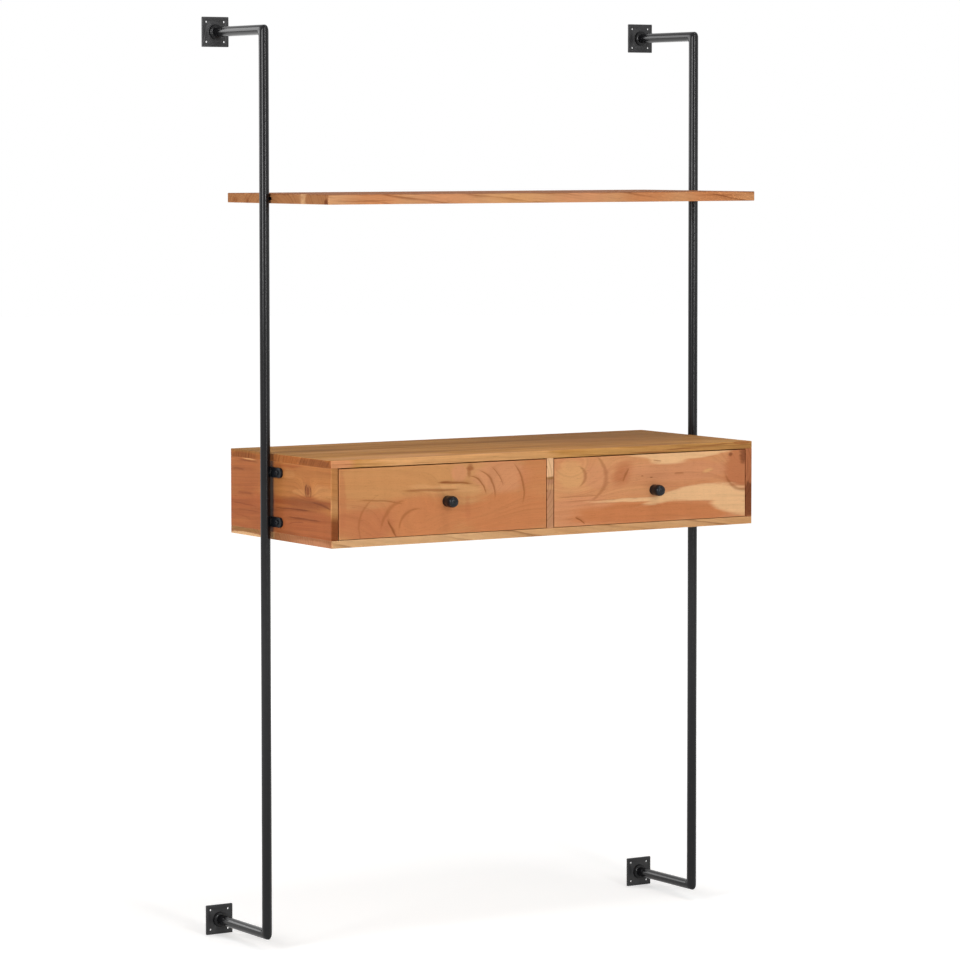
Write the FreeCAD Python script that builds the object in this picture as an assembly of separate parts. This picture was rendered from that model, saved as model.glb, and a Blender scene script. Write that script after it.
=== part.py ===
import FreeCAD, Part
import math
import os

from FreeCAD import Placement, Rotation, Vector

# Floating wall desk: two tube frames on wall plates carry a shelf and a box with two drawers.
# +X runs along the wall to the right, +Y points into the wall and +Z is up, in millimetres.
# The origin lies on the wall, midway between the four wall plates.

# Tube frames
frame_height = 1850.0           # over the outer edges of the wall plates
arm_reach = 200.0               # wall to the axis of the uprights
tube_diameter = 20.0
tube_wall = 1.5
plate_size = 60.0
plate_thickness = 4.0
plate_corner_radius = 1.5
plate_hole_diameter = 4.2
plate_hole_spacing = 40.0
collar_diameter = 30.0
collar_length = 6.0
collar_rounding = 2.0

# Ears that hold the box, welded to the uprights
ear_width = 20.0
ear_thickness = 5.0
ear_reach = 44.0                # upright axis to the rounded tip
ear_screw_reach = 29.0          # upright axis to the screw
ear_tail = 8.0                  # upright axis to the square end
ear_inset = 36.0                # ear centre line to the top or underside of the box

# Box
desk_width = 1000.0
desk_depth = 400.0
desk_height = 170.0
desk_underside = 787.0          # above the axis of the lower arms
wall_gap = 32.0                 # wall to the back edges of the box and the shelf
board_thickness = 15.0
board_easing = 1.2              # radius on the edges that a hand meets
back_panel_thickness = 6.0
back_panel_inset = 10.0         # back edges of the boards to the back panel
back_groove_depth = 5.0
divider_shift = 5.0             # right of the middle of the box

# Shelf
shelf_thickness = 19.0
shelf_underside = 1450.0        # above the axis of the lower arms
tongue_width = 20.0
tongue_thickness = 5.0
tongue_length = 45.0

# Drawers
front_gap = 2.0                 # reveal over a drawer front and at its ends
front_bottom_gap = 1.0          # reveal under a drawer front
front_thickness = 15.0
front_lip = 7.0                 # what the end rebates leave of the front's thickness
drawer_rear_gap = 19.0          # back ends of the sides to the back panel
drawer_side_thickness = 12.0
drawer_side_lift = 4.0          # underside of the front to the underside of the sides
drawer_side_drop = 14.0         # top of the front to the top of the sides
drawer_back_thickness = 12.0
drawer_bottom_thickness = 5.0
drawer_bottom_lift = 8.0        # underside of the sides to the underside of the bottom
drawer_groove_depth = 5.0
drawer_board_easing = 1.0       # on the long edges of the sides and the back

# Runners
runner_height = 16.0
runner_groove_depth = 6.0       # into the outside of a drawer side
runner_start = 40.0             # front of the box to the front end of a runner
runner_rear_gap = 5.0           # back end of a runner to the back panel

# Knobs, in radii and in heights over the drawer front
knob_side_shift = 6.0           # right of the middle of its front
knob_drop = 4.0                 # below the middle of its front
knob_base_radius = 11.4
knob_base_height = 4.0
knob_base_top_radius = 11.1
knob_base_top_height = 6.5
knob_waist_radius = 10.9
knob_waist_height = 9.5
knob_neck_radius = 11.3
knob_neck_height = 13.0         # where the neck meets the head
knob_head_radius = 12.1
knob_head_height = 22.0         # where the head is widest
knob_rim_radius = 4.0
knob_rim_angle = math.radians(30)   # how far the rim curls under the head
knob_projection = 31.0
knob_thread_depth = 18.0

# Fasteners
ear_screw_diameter = 4.5
ear_screw_length = 17.0
ear_screw_head_diameter = 10.0
ear_screw_head_height = 3.5
runner_screw_diameter = 3.5
runner_screw_length = 13.0
runner_screw_head_diameter = 7.0
runner_screw_head_height = 2.5
runner_screw_count = 3
runner_screw_end_inset = 25.0
tongue_screw_diameter = 5.0
tongue_screw_length = 13.0
tongue_screw_head_diameter = 9.5
tongue_screw_head_height = 3.0
tongue_screw_inset = 12.0       # inner end of a tongue to its screw
knob_screw_diameter = 4.0
knob_screw_head_diameter = 8.5
knob_screw_head_height = 2.8
dowel_diameter = 8.0
dowel_length = 30.0
dowel_board_depth = 10.0        # into the top or the bottom board
dowel_count = 4
dowel_end_inset = 55.0          # outermost dowels to the edges of the upright panel

# Clearances
weld_clearance = 0.1            # a ring round a tube
hole_clearance = 0.1            # radial, round a screw or a dowel that grips
screw_clearance = 0.25          # radial, round a screw that only passes through
panel_clearance = 0.2           # each face of a panel in its groove
end_clearance = 0.5             # past the end of a dowel, screw, panel or tongue
tongue_clearance = 0.4          # each face of a tongue in its slot
shelf_end_gap = 0.5             # end of the shelf to an upright
runner_clearance = 0.4          # each face of a runner in its groove
stop_clearance = 0.3            # front end of a groove to its runner, drawer shut

# Derived sizes and places
tube_radius = tube_diameter / 2
arm_height = (frame_height - plate_size) / 2
upright_x = desk_width / 2 + ear_thickness + tube_radius
plate_front = -plate_thickness

desk_bottom = desk_underside - arm_height
desk_top = desk_bottom + desk_height
desk_back = -wall_gap
desk_front = desk_back - desk_depth
side_bottom = desk_bottom + board_thickness
side_top = desk_top - board_thickness
inner_half_width = desk_width / 2 - board_thickness
back_panel_back = desk_back - back_panel_inset
back_panel_front = back_panel_back - back_panel_thickness

shelf_bottom = shelf_underside - arm_height
shelf_top = shelf_bottom + shelf_thickness
shelf_half_width = upright_x - tube_radius - shelf_end_gap
tongue_bottom = (shelf_bottom + shelf_top - tongue_thickness) / 2
tongue_top = tongue_bottom + tongue_thickness
tongue_inner_x = upright_x - tube_radius - tongue_length
tongue_screw_x = tongue_inner_x + tongue_screw_inset

front_bottom = side_bottom + front_bottom_gap
front_top = side_top - front_gap
front_back = desk_front + front_thickness
drawer_back = back_panel_front - drawer_rear_gap
drawer_side_bottom = front_bottom + drawer_side_lift
drawer_side_top = front_top - drawer_side_drop
drawer_bottom_z = drawer_side_bottom + drawer_bottom_lift
drawer_bottom_top = drawer_bottom_z + drawer_bottom_thickness
knob_z = (front_bottom + front_top) / 2 - knob_drop

runner_z = (drawer_side_bottom + drawer_side_top) / 2
runner_front = desk_front + runner_start
runner_back = back_panel_front - runner_rear_gap
runner_thickness = front_gap + runner_groove_depth - runner_clearance
ear_heights = [desk_bottom + ear_inset, desk_top - ear_inset]
ear_screw_y = -arm_reach - ear_screw_reach

sides = {"left": -1, "right": 1}
levels = {"lower": -1, "upper": 1}
runner_walls = {"outer": 1, "inner": -1}
tolerance = 1e-6


# Basic shapes

def block(x_range, y_range, z_range):
    """Box between two limits on each axis, given in either order."""
    low = Vector(min(x_range), min(y_range), min(z_range))
    high = Vector(max(x_range), max(y_range), max(z_range))
    size = high - low
    return Part.makeBox(size.x, size.y, size.z, low)


def rod(radius, length, base, direction):
    return Part.makeCylinder(radius, length, base, direction)


def ease(shape, radius, axes, front_only=False):
    """Round the straight edges that run along the named axes, or only those at the front of the box."""
    directions = {"x": Vector(1, 0, 0), "y": Vector(0, 1, 0), "z": Vector(0, 0, 1)}
    chosen = []
    for edge in shape.Edges:
        start, end = edge.Vertexes[0].Point, edge.Vertexes[-1].Point
        run = end - start
        along = any(run.cross(directions[axis]).Length < tolerance for axis in axes)
        at_front = max(abs(start.y - desk_front), abs(end.y - desk_front)) < tolerance
        if along and (at_front or not front_only):
            chosen.append(edge)
    return shape.makeFillet(radius, chosen)


def turned(edges, base, direction):
    """Revolve a closed profile drawn in X (radius) and Z (height) and stand it on base."""
    solid = Part.Face(Part.Wire(edges)).revolve(Vector(0, 0, 0), Vector(0, 0, 1), 360)
    solid.Placement = Placement(base, Rotation(Vector(0, 0, 1), direction))
    return solid


def flat(radius, height):
    """A profile point."""
    return Vector(radius, 0, height)


def line(start, end):
    return Part.LineSegment(start, end).toShape()


def arc(start, middle, end):
    return Part.Arc(start, middle, end).toShape()


def cap(radius, low, high):
    """Spherical cap from a rim of this radius up to the axis."""
    sphere = (radius ** 2 + (high - low) ** 2) / (2 * (high - low))
    centre = high - sphere
    half_angle = math.asin(radius / sphere) / 2
    middle = flat(sphere * math.sin(half_angle), centre + sphere * math.cos(half_angle))
    return arc(flat(radius, low), middle, flat(0, high))


def mirrored(shape, side):
    """The shape itself on the right, and its mirror image on the left."""
    if side > 0:
        return shape
    return shape.mirror(Vector(0, 0, 0), Vector(1, 0, 0))


def spread(first, last, count):
    step = (last - first) / (count - 1)
    return [first + step * index for index in range(count)]


def save(name, *solids):
    shape = solids[0] if len(solids) == 1 else Part.makeCompound(list(solids))
    for solid in shape.Solids:
        assert solid.isValid(), name
    shape.exportStep(f"parts/{name}.step")
    print(f"{name:28s} {len(shape.Solids):3d} solids {shape.Volume / 1000:10.2f} cm3")


# Tube frames, drawn for the right end and mirrored for the left

def pipe(length, base, direction):
    outer = rod(tube_radius, length, base, direction)
    return outer.cut(rod(tube_radius - tube_wall, length, base, direction))


def mitre_tool(level, arm_side):
    """All that lies past the mitre of a corner: on the arm's side of it for 1, the upright's for -1."""
    reach = frame_height
    tool = Part.makeBox(reach, reach, reach, Vector(-reach / 2, -reach / 2, 0))
    normal = Vector(0, arm_side, arm_side * level)
    corner = Vector(upright_x, -arm_reach, level * arm_height)
    tool.Placement = Placement(corner, Rotation(Vector(0, 0, 1), normal))
    return tool


def upright():
    length = 2 * (arm_height + tube_radius)
    shape = pipe(length, Vector(upright_x, -arm_reach, -length / 2), Vector(0, 0, 1))
    for level in levels.values():
        shape = shape.cut(mitre_tool(level, 1))
    return shape


def arm(level):
    length = arm_reach + tube_radius - plate_thickness
    base = Vector(upright_x, plate_front, level * arm_height)
    return pipe(length, base, Vector(0, -1, 0)).cut(mitre_tool(level, -1))


def wall_plate(level):
    half = plate_size / 2
    centre_z = level * arm_height
    plate = block((upright_x - half, upright_x + half), (plate_front, 0), (centre_z - half, centre_z + half))
    plate = ease(plate, plate_corner_radius, "y")
    for dx in (-plate_hole_spacing / 2, plate_hole_spacing / 2):
        for dz in (-plate_hole_spacing / 2, plate_hole_spacing / 2):
            start = Vector(upright_x + dx, plate_front, centre_z + dz)
            plate = plate.cut(rod(plate_hole_diameter / 2, plate_thickness, start, Vector(0, 1, 0)))
    return plate


def collar(level):
    """Weld ring between an arm and its plate, rounded at the front."""
    outer = collar_diameter / 2
    inner = tube_radius + weld_clearance
    bend = collar_rounding
    middle = bend * (1 - 0.5 ** 0.5)
    profile = [
        line(flat(inner, 0), flat(outer, 0)),
        line(flat(outer, 0), flat(outer, collar_length - bend)),
        arc(flat(outer, collar_length - bend), flat(outer - middle, collar_length - middle),
            flat(outer - bend, collar_length)),
        line(flat(outer - bend, collar_length), flat(inner, collar_length)),
        line(flat(inner, collar_length), flat(inner, 0)),
    ]
    return turned(profile, Vector(upright_x, plate_front, level * arm_height), Vector(0, -1, 0))


def ear(height):
    """Flat bar between the upright and the side of the box, with a round tip and a screw hole."""
    inner_x = desk_width / 2
    tip_radius = ear_width / 2
    tip_y = -arm_reach - ear_reach + tip_radius
    outward = Vector(1, 0, 0)
    bar = block((inner_x, inner_x + ear_thickness), (tip_y, -arm_reach + ear_tail),
                (height - tip_radius, height + tip_radius))
    bar = bar.fuse(rod(tip_radius, ear_thickness, Vector(inner_x, tip_y, height), outward)).removeSplitter()
    hole_radius = ear_screw_diameter / 2 + screw_clearance
    return bar.cut(rod(hole_radius, ear_thickness, Vector(inner_x, ear_screw_y, height), outward))


def shelf_tongue():
    """Steel tongue on the upright that slides into the end of the shelf."""
    root_x = tongue_inner_x + tongue_length
    half = tongue_width / 2
    tongue = block((tongue_inner_x, root_x), (-arm_reach - half, -arm_reach + half),
                   (tongue_bottom, tongue_top))
    hole_radius = tongue_screw_diameter / 2 + hole_clearance
    start = Vector(tongue_screw_x, -arm_reach, tongue_bottom)
    return tongue.cut(rod(hole_radius, tongue_thickness, start, Vector(0, 0, 1)))


# Fasteners

def dome_screw(base, direction):
    """Screw through an ear: base is under the head, and direction points out of it."""
    head = ear_screw_head_diameter / 2
    shank = ear_screw_diameter / 2
    profile = [
        line(flat(0, -ear_screw_length), flat(shank, -ear_screw_length + shank)),
        line(flat(shank, -ear_screw_length + shank), flat(shank, 0)),
        line(flat(shank, 0), flat(head, 0)),
        cap(head, 0, ear_screw_head_height),
        line(flat(0, ear_screw_head_height), flat(0, -ear_screw_length)),
    ]
    return turned(profile, base, direction)


def countersunk(diameter, length, head_diameter, head_height, base, direction):
    """Screw with a flat sunk head: base is at the top of the head, and direction points out of it."""
    head = head_diameter / 2
    shank = diameter / 2
    profile = [
        line(flat(0, -length), flat(shank, -length)),
        line(flat(shank, -length), flat(shank, -head_height)),
        line(flat(shank, -head_height), flat(head, 0)),
        line(flat(head, 0), flat(0, 0)),
        line(flat(0, 0), flat(0, -length)),
    ]
    return turned(profile, base, direction)


def countersunk_hole(diameter, length, head_diameter, head_height, clearance, base, direction):
    """Room for a sunk screw with a clearance all round and past its end."""
    return countersunk(diameter + 2 * clearance, length + end_clearance, head_diameter + 2 * clearance,
                       head_height, base, direction)


def ear_screw_places(side):
    outer_x = desk_width / 2 + ear_thickness
    return [Vector(side * outer_x, ear_screw_y, height) for height in ear_heights]


def dowels(x, panel_back, clearance, slack):
    """Dowels into both ends of an upright panel, or their holes."""
    radius = dowel_diameter / 2 + clearance
    length = dowel_length + 2 * slack
    pins = []
    for y in spread(desk_front + dowel_end_inset, panel_back - dowel_end_inset, dowel_count):
        for joint, up in ((side_top, 1), (side_bottom, -1)):
            base = Vector(x, y, joint + up * (dowel_board_depth + slack))
            pins.append(rod(radius, length, base, Vector(0, 0, -up)))
    return pins


def all_dowels(clearance, slack):
    side_x = desk_width / 2 - board_thickness / 2
    pins = dowels(divider_shift, back_panel_front, clearance, slack)
    for side in sides.values():
        pins += dowels(side * side_x, desk_back, clearance, slack)
    return pins


# Box

def back_panel_room(clearance, slack):
    """The back panel, or the grooves round it."""
    half = inner_half_width + back_groove_depth - end_clearance + slack
    reach = back_groove_depth - end_clearance + slack
    return block((-half, half), (back_panel_back + clearance, back_panel_front - clearance),
                 (side_bottom - reach, side_top + reach))


def bored(board, holes):
    return board.cut(Part.makeCompound(holes))


def flat_board(z_range, holes):
    """Top or bottom board over the full width of the box."""
    board = block((-desk_width / 2, desk_width / 2), (desk_front, desk_back), z_range)
    board = ease(board, board_easing, "xyz")
    board = board.cut(back_panel_room(panel_clearance, end_clearance))
    return bored(board, holes)


def side_panel(side, holes):
    outer_x = desk_width / 2
    panel = block((inner_half_width, outer_x), (desk_front, desk_back), (side_bottom, side_top))
    panel = ease(panel, board_easing, "z")
    panel = mirrored(panel, side).cut(back_panel_room(panel_clearance, end_clearance))
    inward = Vector(-side, 0, 0)
    screw_holes = []
    for place in ear_screw_places(side):
        mouth = place + inward * ear_thickness
        depth = ear_screw_length - ear_thickness + end_clearance
        screw_holes.append(rod(ear_screw_diameter / 2 + hole_clearance, depth, mouth, inward))
    return bored(panel, holes + screw_holes + runner_screw_holes(side, 1))


def divider_face_x(side):
    """Face of the divider that looks into this side's bay."""
    return divider_shift + side * board_thickness / 2


def centre_divider(holes):
    divider = block((divider_face_x(-1), divider_face_x(1)), (desk_front, back_panel_front),
                    (side_bottom, side_top))
    divider = ease(divider, board_easing, "z", front_only=True)
    return bored(divider, holes + runner_screw_holes(-1, -1) + runner_screw_holes(1, -1))


# Runners: one on each side of each bay. wall is 1 on a side panel and -1 on the divider.

def runner_wall_x(side, wall):
    return side * inner_half_width if wall > 0 else divider_face_x(side)


def runner_screw_seats(side, wall):
    """Middles of the screw heads on the runner's face, and the way they look."""
    into_bay = Vector(-side * wall, 0, 0)
    face_x = runner_wall_x(side, wall) - side * wall * runner_thickness
    along = spread(runner_front + runner_screw_end_inset, runner_back - runner_screw_end_inset,
                   runner_screw_count)
    return [(Vector(face_x, y, runner_z), into_bay) for y in along]


def runner_screws(side, wall):
    return [countersunk(runner_screw_diameter, runner_screw_length, runner_screw_head_diameter,
                        runner_screw_head_height, seat, into_bay)
            for seat, into_bay in runner_screw_seats(side, wall)]


def runner_screw_holes(side, wall):
    return [countersunk_hole(runner_screw_diameter, runner_screw_length, runner_screw_head_diameter,
                             runner_screw_head_height, hole_clearance, seat, into_bay)
            for seat, into_bay in runner_screw_seats(side, wall)]


def runner(side, wall):
    wall_x = runner_wall_x(side, wall)
    half = runner_height / 2
    strip = block((wall_x, wall_x - side * wall * runner_thickness), (runner_front, runner_back),
                  (runner_z - half, runner_z + half))
    return bored(strip, runner_screw_holes(side, wall))


# Shelf

def shelf():
    board = block((-shelf_half_width, shelf_half_width), (desk_front, desk_back), (shelf_bottom, shelf_top))
    board = ease(board, board_easing, "xyz")
    half = tongue_width / 2 + tongue_clearance
    for side in sides.values():
        slot = block((side * (tongue_inner_x - end_clearance), side * upright_x),
                     (-arm_reach - half, -arm_reach + half),
                     (tongue_bottom - tongue_clearance, tongue_top + tongue_clearance))
        board = board.cut(slot)
        base = Vector(side * tongue_screw_x, -arm_reach, shelf_bottom)
        board = board.cut(countersunk_hole(tongue_screw_diameter, tongue_screw_length,
                                           tongue_screw_head_diameter, tongue_screw_head_height,
                                           screw_clearance, base, Vector(0, 0, -1)))
    return board


def shelf_screw(side):
    base = Vector(side * tongue_screw_x, -arm_reach, shelf_bottom)
    return countersunk(tongue_screw_diameter, tongue_screw_length, tongue_screw_head_diameter,
                       tongue_screw_head_height, base, Vector(0, 0, -1))


# Drawers, each round the middle of its bay

def drawer_centre(side):
    return (side * inner_half_width + divider_face_x(side)) / 2


def front_half_width(side):
    return abs(side * inner_half_width - divider_face_x(side)) / 2 - front_gap


def drawer_inner_half(side):
    return front_half_width(side) - drawer_side_thickness


def knob_x(side):
    return drawer_centre(side) + knob_side_shift


def drawer_bottom_room(side, clearance, slack):
    """The drawer bottom, or the grooves round it."""
    centre = drawer_centre(side)
    reach = drawer_groove_depth - end_clearance + slack
    half = drawer_inner_half(side) + reach
    return block((centre - half, centre + half),
                 (front_back - reach, drawer_back + slack),
                 (drawer_bottom_z - clearance, drawer_bottom_top + clearance))


def drawer_front(side):
    """Inset front, rebated behind for the sides and grooved for the bottom."""
    centre = drawer_centre(side)
    half = front_half_width(side)
    front = block((centre - half, centre + half), (desk_front, front_back), (front_bottom, front_top))
    front = ease(front, board_easing, "xz", front_only=True)
    for end in (-1, 1):
        rebate = block((centre + end * drawer_inner_half(side), centre + end * half),
                       (desk_front + front_lip, front_back), (drawer_side_bottom, drawer_side_top))
        front = front.cut(rebate)
    front = front.cut(drawer_bottom_room(side, panel_clearance, end_clearance))
    hole = rod(knob_screw_diameter / 2 + screw_clearance, front_thickness,
               Vector(knob_x(side), desk_front, knob_z), Vector(0, 1, 0))
    return front.cut(hole)


def drawer_side(side, end):
    """Side board with a groove outside for its runner and one inside for the bottom."""
    outer_x = drawer_centre(side) + end * front_half_width(side)
    inner_x = outer_x - end * drawer_side_thickness
    board = block((inner_x, outer_x), (desk_front + front_lip, drawer_back),
                  (drawer_side_bottom, drawer_side_top))
    board = ease(board, drawer_board_easing, "y")
    board = board.cut(drawer_bottom_room(side, panel_clearance, end_clearance))
    half = runner_height / 2 + runner_clearance
    groove = block((outer_x, outer_x - end * runner_groove_depth),
                   (runner_front - stop_clearance, drawer_back), (runner_z - half, runner_z + half))
    return board.cut(groove)


def drawer_back_board(side):
    centre = drawer_centre(side)
    half = drawer_inner_half(side)
    board = block((centre - half, centre + half), (drawer_back - drawer_back_thickness, drawer_back),
                  (drawer_bottom_top + panel_clearance, drawer_side_top))
    return ease(board, drawer_board_easing, "x")


def knob(side):
    """Turned knob: a round foot, a waisted neck and a domed head with a soft rim."""
    rim_x = knob_head_radius - knob_rim_radius
    reach = knob_projection - knob_rim_radius
    dome_centre = (reach ** 2 - rim_x ** 2 - knob_head_height ** 2) / (2 * (reach - knob_head_height))
    dome_angle = math.atan2(knob_head_height - dome_centre, rim_x)

    def on_rim(angle):
        radius = rim_x + knob_rim_radius * math.cos(angle)
        return flat(radius, knob_head_height + knob_rim_radius * math.sin(angle))

    rim_top = on_rim(dome_angle)
    bore = knob_screw_diameter / 2 + hole_clearance
    profile = [
        line(flat(bore, 0), flat(knob_base_radius, 0)),
        line(flat(knob_base_radius, 0), flat(knob_base_radius, knob_base_height)),
        line(flat(knob_base_radius, knob_base_height), flat(knob_base_top_radius, knob_base_top_height)),
        arc(flat(knob_base_top_radius, knob_base_top_height), flat(knob_waist_radius, knob_waist_height),
            flat(knob_neck_radius, knob_neck_height)),
        line(flat(knob_neck_radius, knob_neck_height), on_rim(-knob_rim_angle)),
        arc(on_rim(-knob_rim_angle), on_rim(0), rim_top),
        cap(rim_top.x, rim_top.z, knob_projection),
        line(flat(0, knob_projection), flat(0, knob_thread_depth)),
        line(flat(0, knob_thread_depth), flat(bore, knob_thread_depth)),
        line(flat(bore, knob_thread_depth), flat(bore, 0)),
    ]
    return turned(profile, Vector(knob_x(side), desk_front, knob_z), Vector(0, -1, 0))


def knob_screw(side):
    """Machine screw from inside the drawer into the knob."""
    head_base = Vector(knob_x(side), front_back, knob_z)
    head = rod(knob_screw_head_diameter / 2, knob_screw_head_height, head_base, Vector(0, 1, 0))
    shank_length = front_thickness + knob_thread_depth - end_clearance
    shank = rod(knob_screw_diameter / 2, shank_length, head_base, Vector(0, -1, 0))
    return head.fuse(shank).removeSplitter()


# Build

os.makedirs("parts", exist_ok=True)

dowel_holes = all_dowels(hole_clearance, end_clearance)
levelled_ears = dict(zip(levels, ear_heights))

for side_name, side in sides.items():
    save(f"{side_name}_upright", mirrored(upright(), side))
    save(f"{side_name}_shelf_tongue", mirrored(shelf_tongue(), side))
    for level_name, level in levels.items():
        save(f"{side_name}_{level_name}_arm", mirrored(arm(level), side))
        save(f"{side_name}_{level_name}_wall_plate", mirrored(wall_plate(level), side))
        save(f"{side_name}_{level_name}_collar", mirrored(collar(level), side))
        save(f"{side_name}_{level_name}_ear", mirrored(ear(levelled_ears[level_name]), side))

save("top_board", flat_board((side_top, desk_top), dowel_holes))
save("bottom_board", flat_board((desk_bottom, side_bottom), dowel_holes))
save("left_side_panel", side_panel(-1, dowel_holes))
save("right_side_panel", side_panel(1, dowel_holes))
save("centre_divider", centre_divider(dowel_holes))
save("back_panel", back_panel_room(0, 0))
save("shelf", shelf())

save("box_dowels", *all_dowels(0, 0))
save("ear_screws", *[dome_screw(place, Vector(side, 0, 0))
                     for side in sides.values() for place in ear_screw_places(side)])
save("shelf_screws", *[shelf_screw(side) for side in sides.values()])

for side_name, side in sides.items():
    for wall_name, wall in runner_walls.items():
        save(f"{side_name}_bay_{wall_name}_runner", runner(side, wall))
save("runner_screws", *[screw for side in sides.values() for wall in runner_walls.values()
                        for screw in runner_screws(side, wall)])

for side_name, side in sides.items():
    save(f"{side_name}_drawer_front", drawer_front(side))
    for end_name, end in sides.items():
        save(f"{side_name}_drawer_{end_name}_side", drawer_side(side, end))
    save(f"{side_name}_drawer_back", drawer_back_board(side))
    save(f"{side_name}_drawer_bottom", drawer_bottom_room(side, 0, 0))
    save(f"{side_name}_drawer_knob", knob(side))
    save(f"{side_name}_drawer_knob_screw", knob_screw(side))
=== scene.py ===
import math

import bmesh
import bpy
from mathutils import Matrix, Vector, noise


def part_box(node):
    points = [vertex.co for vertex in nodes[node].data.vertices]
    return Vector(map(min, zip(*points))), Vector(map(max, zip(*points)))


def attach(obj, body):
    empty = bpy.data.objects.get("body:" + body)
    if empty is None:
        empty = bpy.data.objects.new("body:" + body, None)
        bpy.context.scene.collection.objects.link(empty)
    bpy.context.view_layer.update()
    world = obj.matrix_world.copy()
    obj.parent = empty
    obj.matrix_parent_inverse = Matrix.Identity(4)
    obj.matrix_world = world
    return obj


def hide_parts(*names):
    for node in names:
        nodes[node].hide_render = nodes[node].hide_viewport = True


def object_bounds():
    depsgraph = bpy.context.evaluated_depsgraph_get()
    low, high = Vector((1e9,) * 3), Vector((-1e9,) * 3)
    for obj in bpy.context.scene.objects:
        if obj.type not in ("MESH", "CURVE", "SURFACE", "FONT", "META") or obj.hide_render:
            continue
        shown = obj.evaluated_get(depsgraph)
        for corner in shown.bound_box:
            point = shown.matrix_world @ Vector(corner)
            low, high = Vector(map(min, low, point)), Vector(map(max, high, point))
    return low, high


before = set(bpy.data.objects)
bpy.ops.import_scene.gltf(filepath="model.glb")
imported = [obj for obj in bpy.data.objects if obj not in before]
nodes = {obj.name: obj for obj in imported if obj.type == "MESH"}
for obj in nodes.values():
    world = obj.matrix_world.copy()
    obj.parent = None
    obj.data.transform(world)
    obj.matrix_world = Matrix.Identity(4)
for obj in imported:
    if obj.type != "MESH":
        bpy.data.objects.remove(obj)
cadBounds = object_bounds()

sideSigns = {"left": -1, "right": 1}
levels = ("lower", "upper")
print("frame loaded:", len(nodes), "nodes")


# camera and lamps

cameraSetup = {
    "place": (-4.5168, -7.3152, 0.6713),
    "turn": (86.423, 0.04, -32.329),    # degrees
    "lens": 155.55,
    "sensor": 36.0,
    "shiftY": -0.08,
    "clip": (0.1, 200.0),
}
softBoxes = {
    "leftBox": {"place": (-6.0, -1.8, 1.65), "aim": (0, -0.2, 0.6), "size": (2.4, 2.6), "power": 200},
    "frontStrip": {"place": (-0.75, -6.15, 1.7), "aim": (0, -0.2, 0.5), "size": (0.55, 2.8), "power": 118},
    "lowStrip": {"place": (-0.75, -6.15, -0.08), "aim": (0, -0.2, 0.0), "size": (0.55, 0.75), "power": 16},
    "backPanel": {"place": (-3.6, 5.2, 2.1), "aim": (0, -0.2, 0.3), "size": (4.0, 3.2), "power": 140},
    "plateGlow": {"place": (2.6, -5.7, 1.06), "aim": (-0.5, 0, 0.9), "size": (1.2, 0.9), "power": 15},
    "overhead": {"place": (0.2, -1.6, 4.4), "aim": (0, -0.2, 0.0), "size": (1.3, 1.3), "power": 62},
}


def placeObject(name, data):
    thing = bpy.data.objects.new(name, data)
    bpy.context.scene.collection.objects.link(thing)
    return thing


def makeCamera(setup):
    lens = bpy.data.cameras.new("deskCamera")
    lens.lens = setup["lens"]
    lens.sensor_width = setup["sensor"]
    lens.shift_y = setup["shiftY"]
    lens.clip_start, lens.clip_end = setup["clip"]
    camera = placeObject("deskCamera", lens)
    camera.location = setup["place"]
    camera.rotation_euler = [math.radians(angle) for angle in setup["turn"]]
    bpy.context.scene.camera = camera


def makeSoftBox(name, box):
    light = bpy.data.lights.new(name, "AREA")
    light.shape = "RECTANGLE"
    light.size, light.size_y = box["size"]
    light.energy = box["power"]
    lamp = placeObject(name, light)
    lamp.location = box["place"]
    direction = Vector(box["aim"]) - Vector(box["place"])
    lamp.rotation_euler = direction.to_track_quat("-Z", "Y").to_euler()
    lamp.visible_camera = False


makeCamera(cameraSetup)
for name, box in softBoxes.items():
    makeSoftBox(name, box)
bpy.context.scene.view_settings.view_transform = "Standard"
print("camera and", len(softBoxes), "soft boxes placed")


# small helpers for node trees

origin = (0.0, 0.0, 0.0)
anyColour = (0.5, 0.3, 0.1, 1.0)        # what a colour socket holds until it is given one
bumpDepth = 0.0004


def plug(tree, value, socket):
    if isinstance(value, bpy.types.NodeSocket):
        tree.links.new(value, socket)
    else:
        socket.default_value = value


def addNode(tree, kind, inputs=None, **settings):
    node = tree.nodes.new(kind)
    for name, value in settings.items():
        setattr(node, name, value)
    for name, value in (inputs or {}).items():
        plug(tree, value, node.inputs[name])
    return node


def calc(tree, operation, *values):
    return addNode(tree, "ShaderNodeMath", dict(enumerate(values)), operation=operation).outputs[0]


def times(tree, first, second):
    return calc(tree, "MULTIPLY", first, second)


def vectorCalc(tree, operation, *values):
    node = addNode(tree, "ShaderNodeVectorMath", dict(enumerate(values)), operation=operation)
    return node.outputs["Value" if operation == "LENGTH" else "Vector"]


def scaled(tree, vector, amount):
    node = addNode(tree, "ShaderNodeVectorMath", {"Vector": vector, "Scale": amount}, operation="SCALE")
    return node.outputs["Vector"]


def split(tree, vector):
    return addNode(tree, "ShaderNodeSeparateXYZ", {"Vector": vector}).outputs


def join(tree, x, y, z):
    return addNode(tree, "ShaderNodeCombineXYZ", {"X": x, "Y": y, "Z": z}).outputs[0]


def ease(tree, value, low, high, start=0.0, end=1.0):
    node = addNode(tree, "ShaderNodeMapRange",
                   {"Value": value, "From Min": low, "From Max": high, "To Min": start, "To Max": end},
                   interpolation_type="SMOOTHSTEP")
    return node.outputs["Result"]


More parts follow.
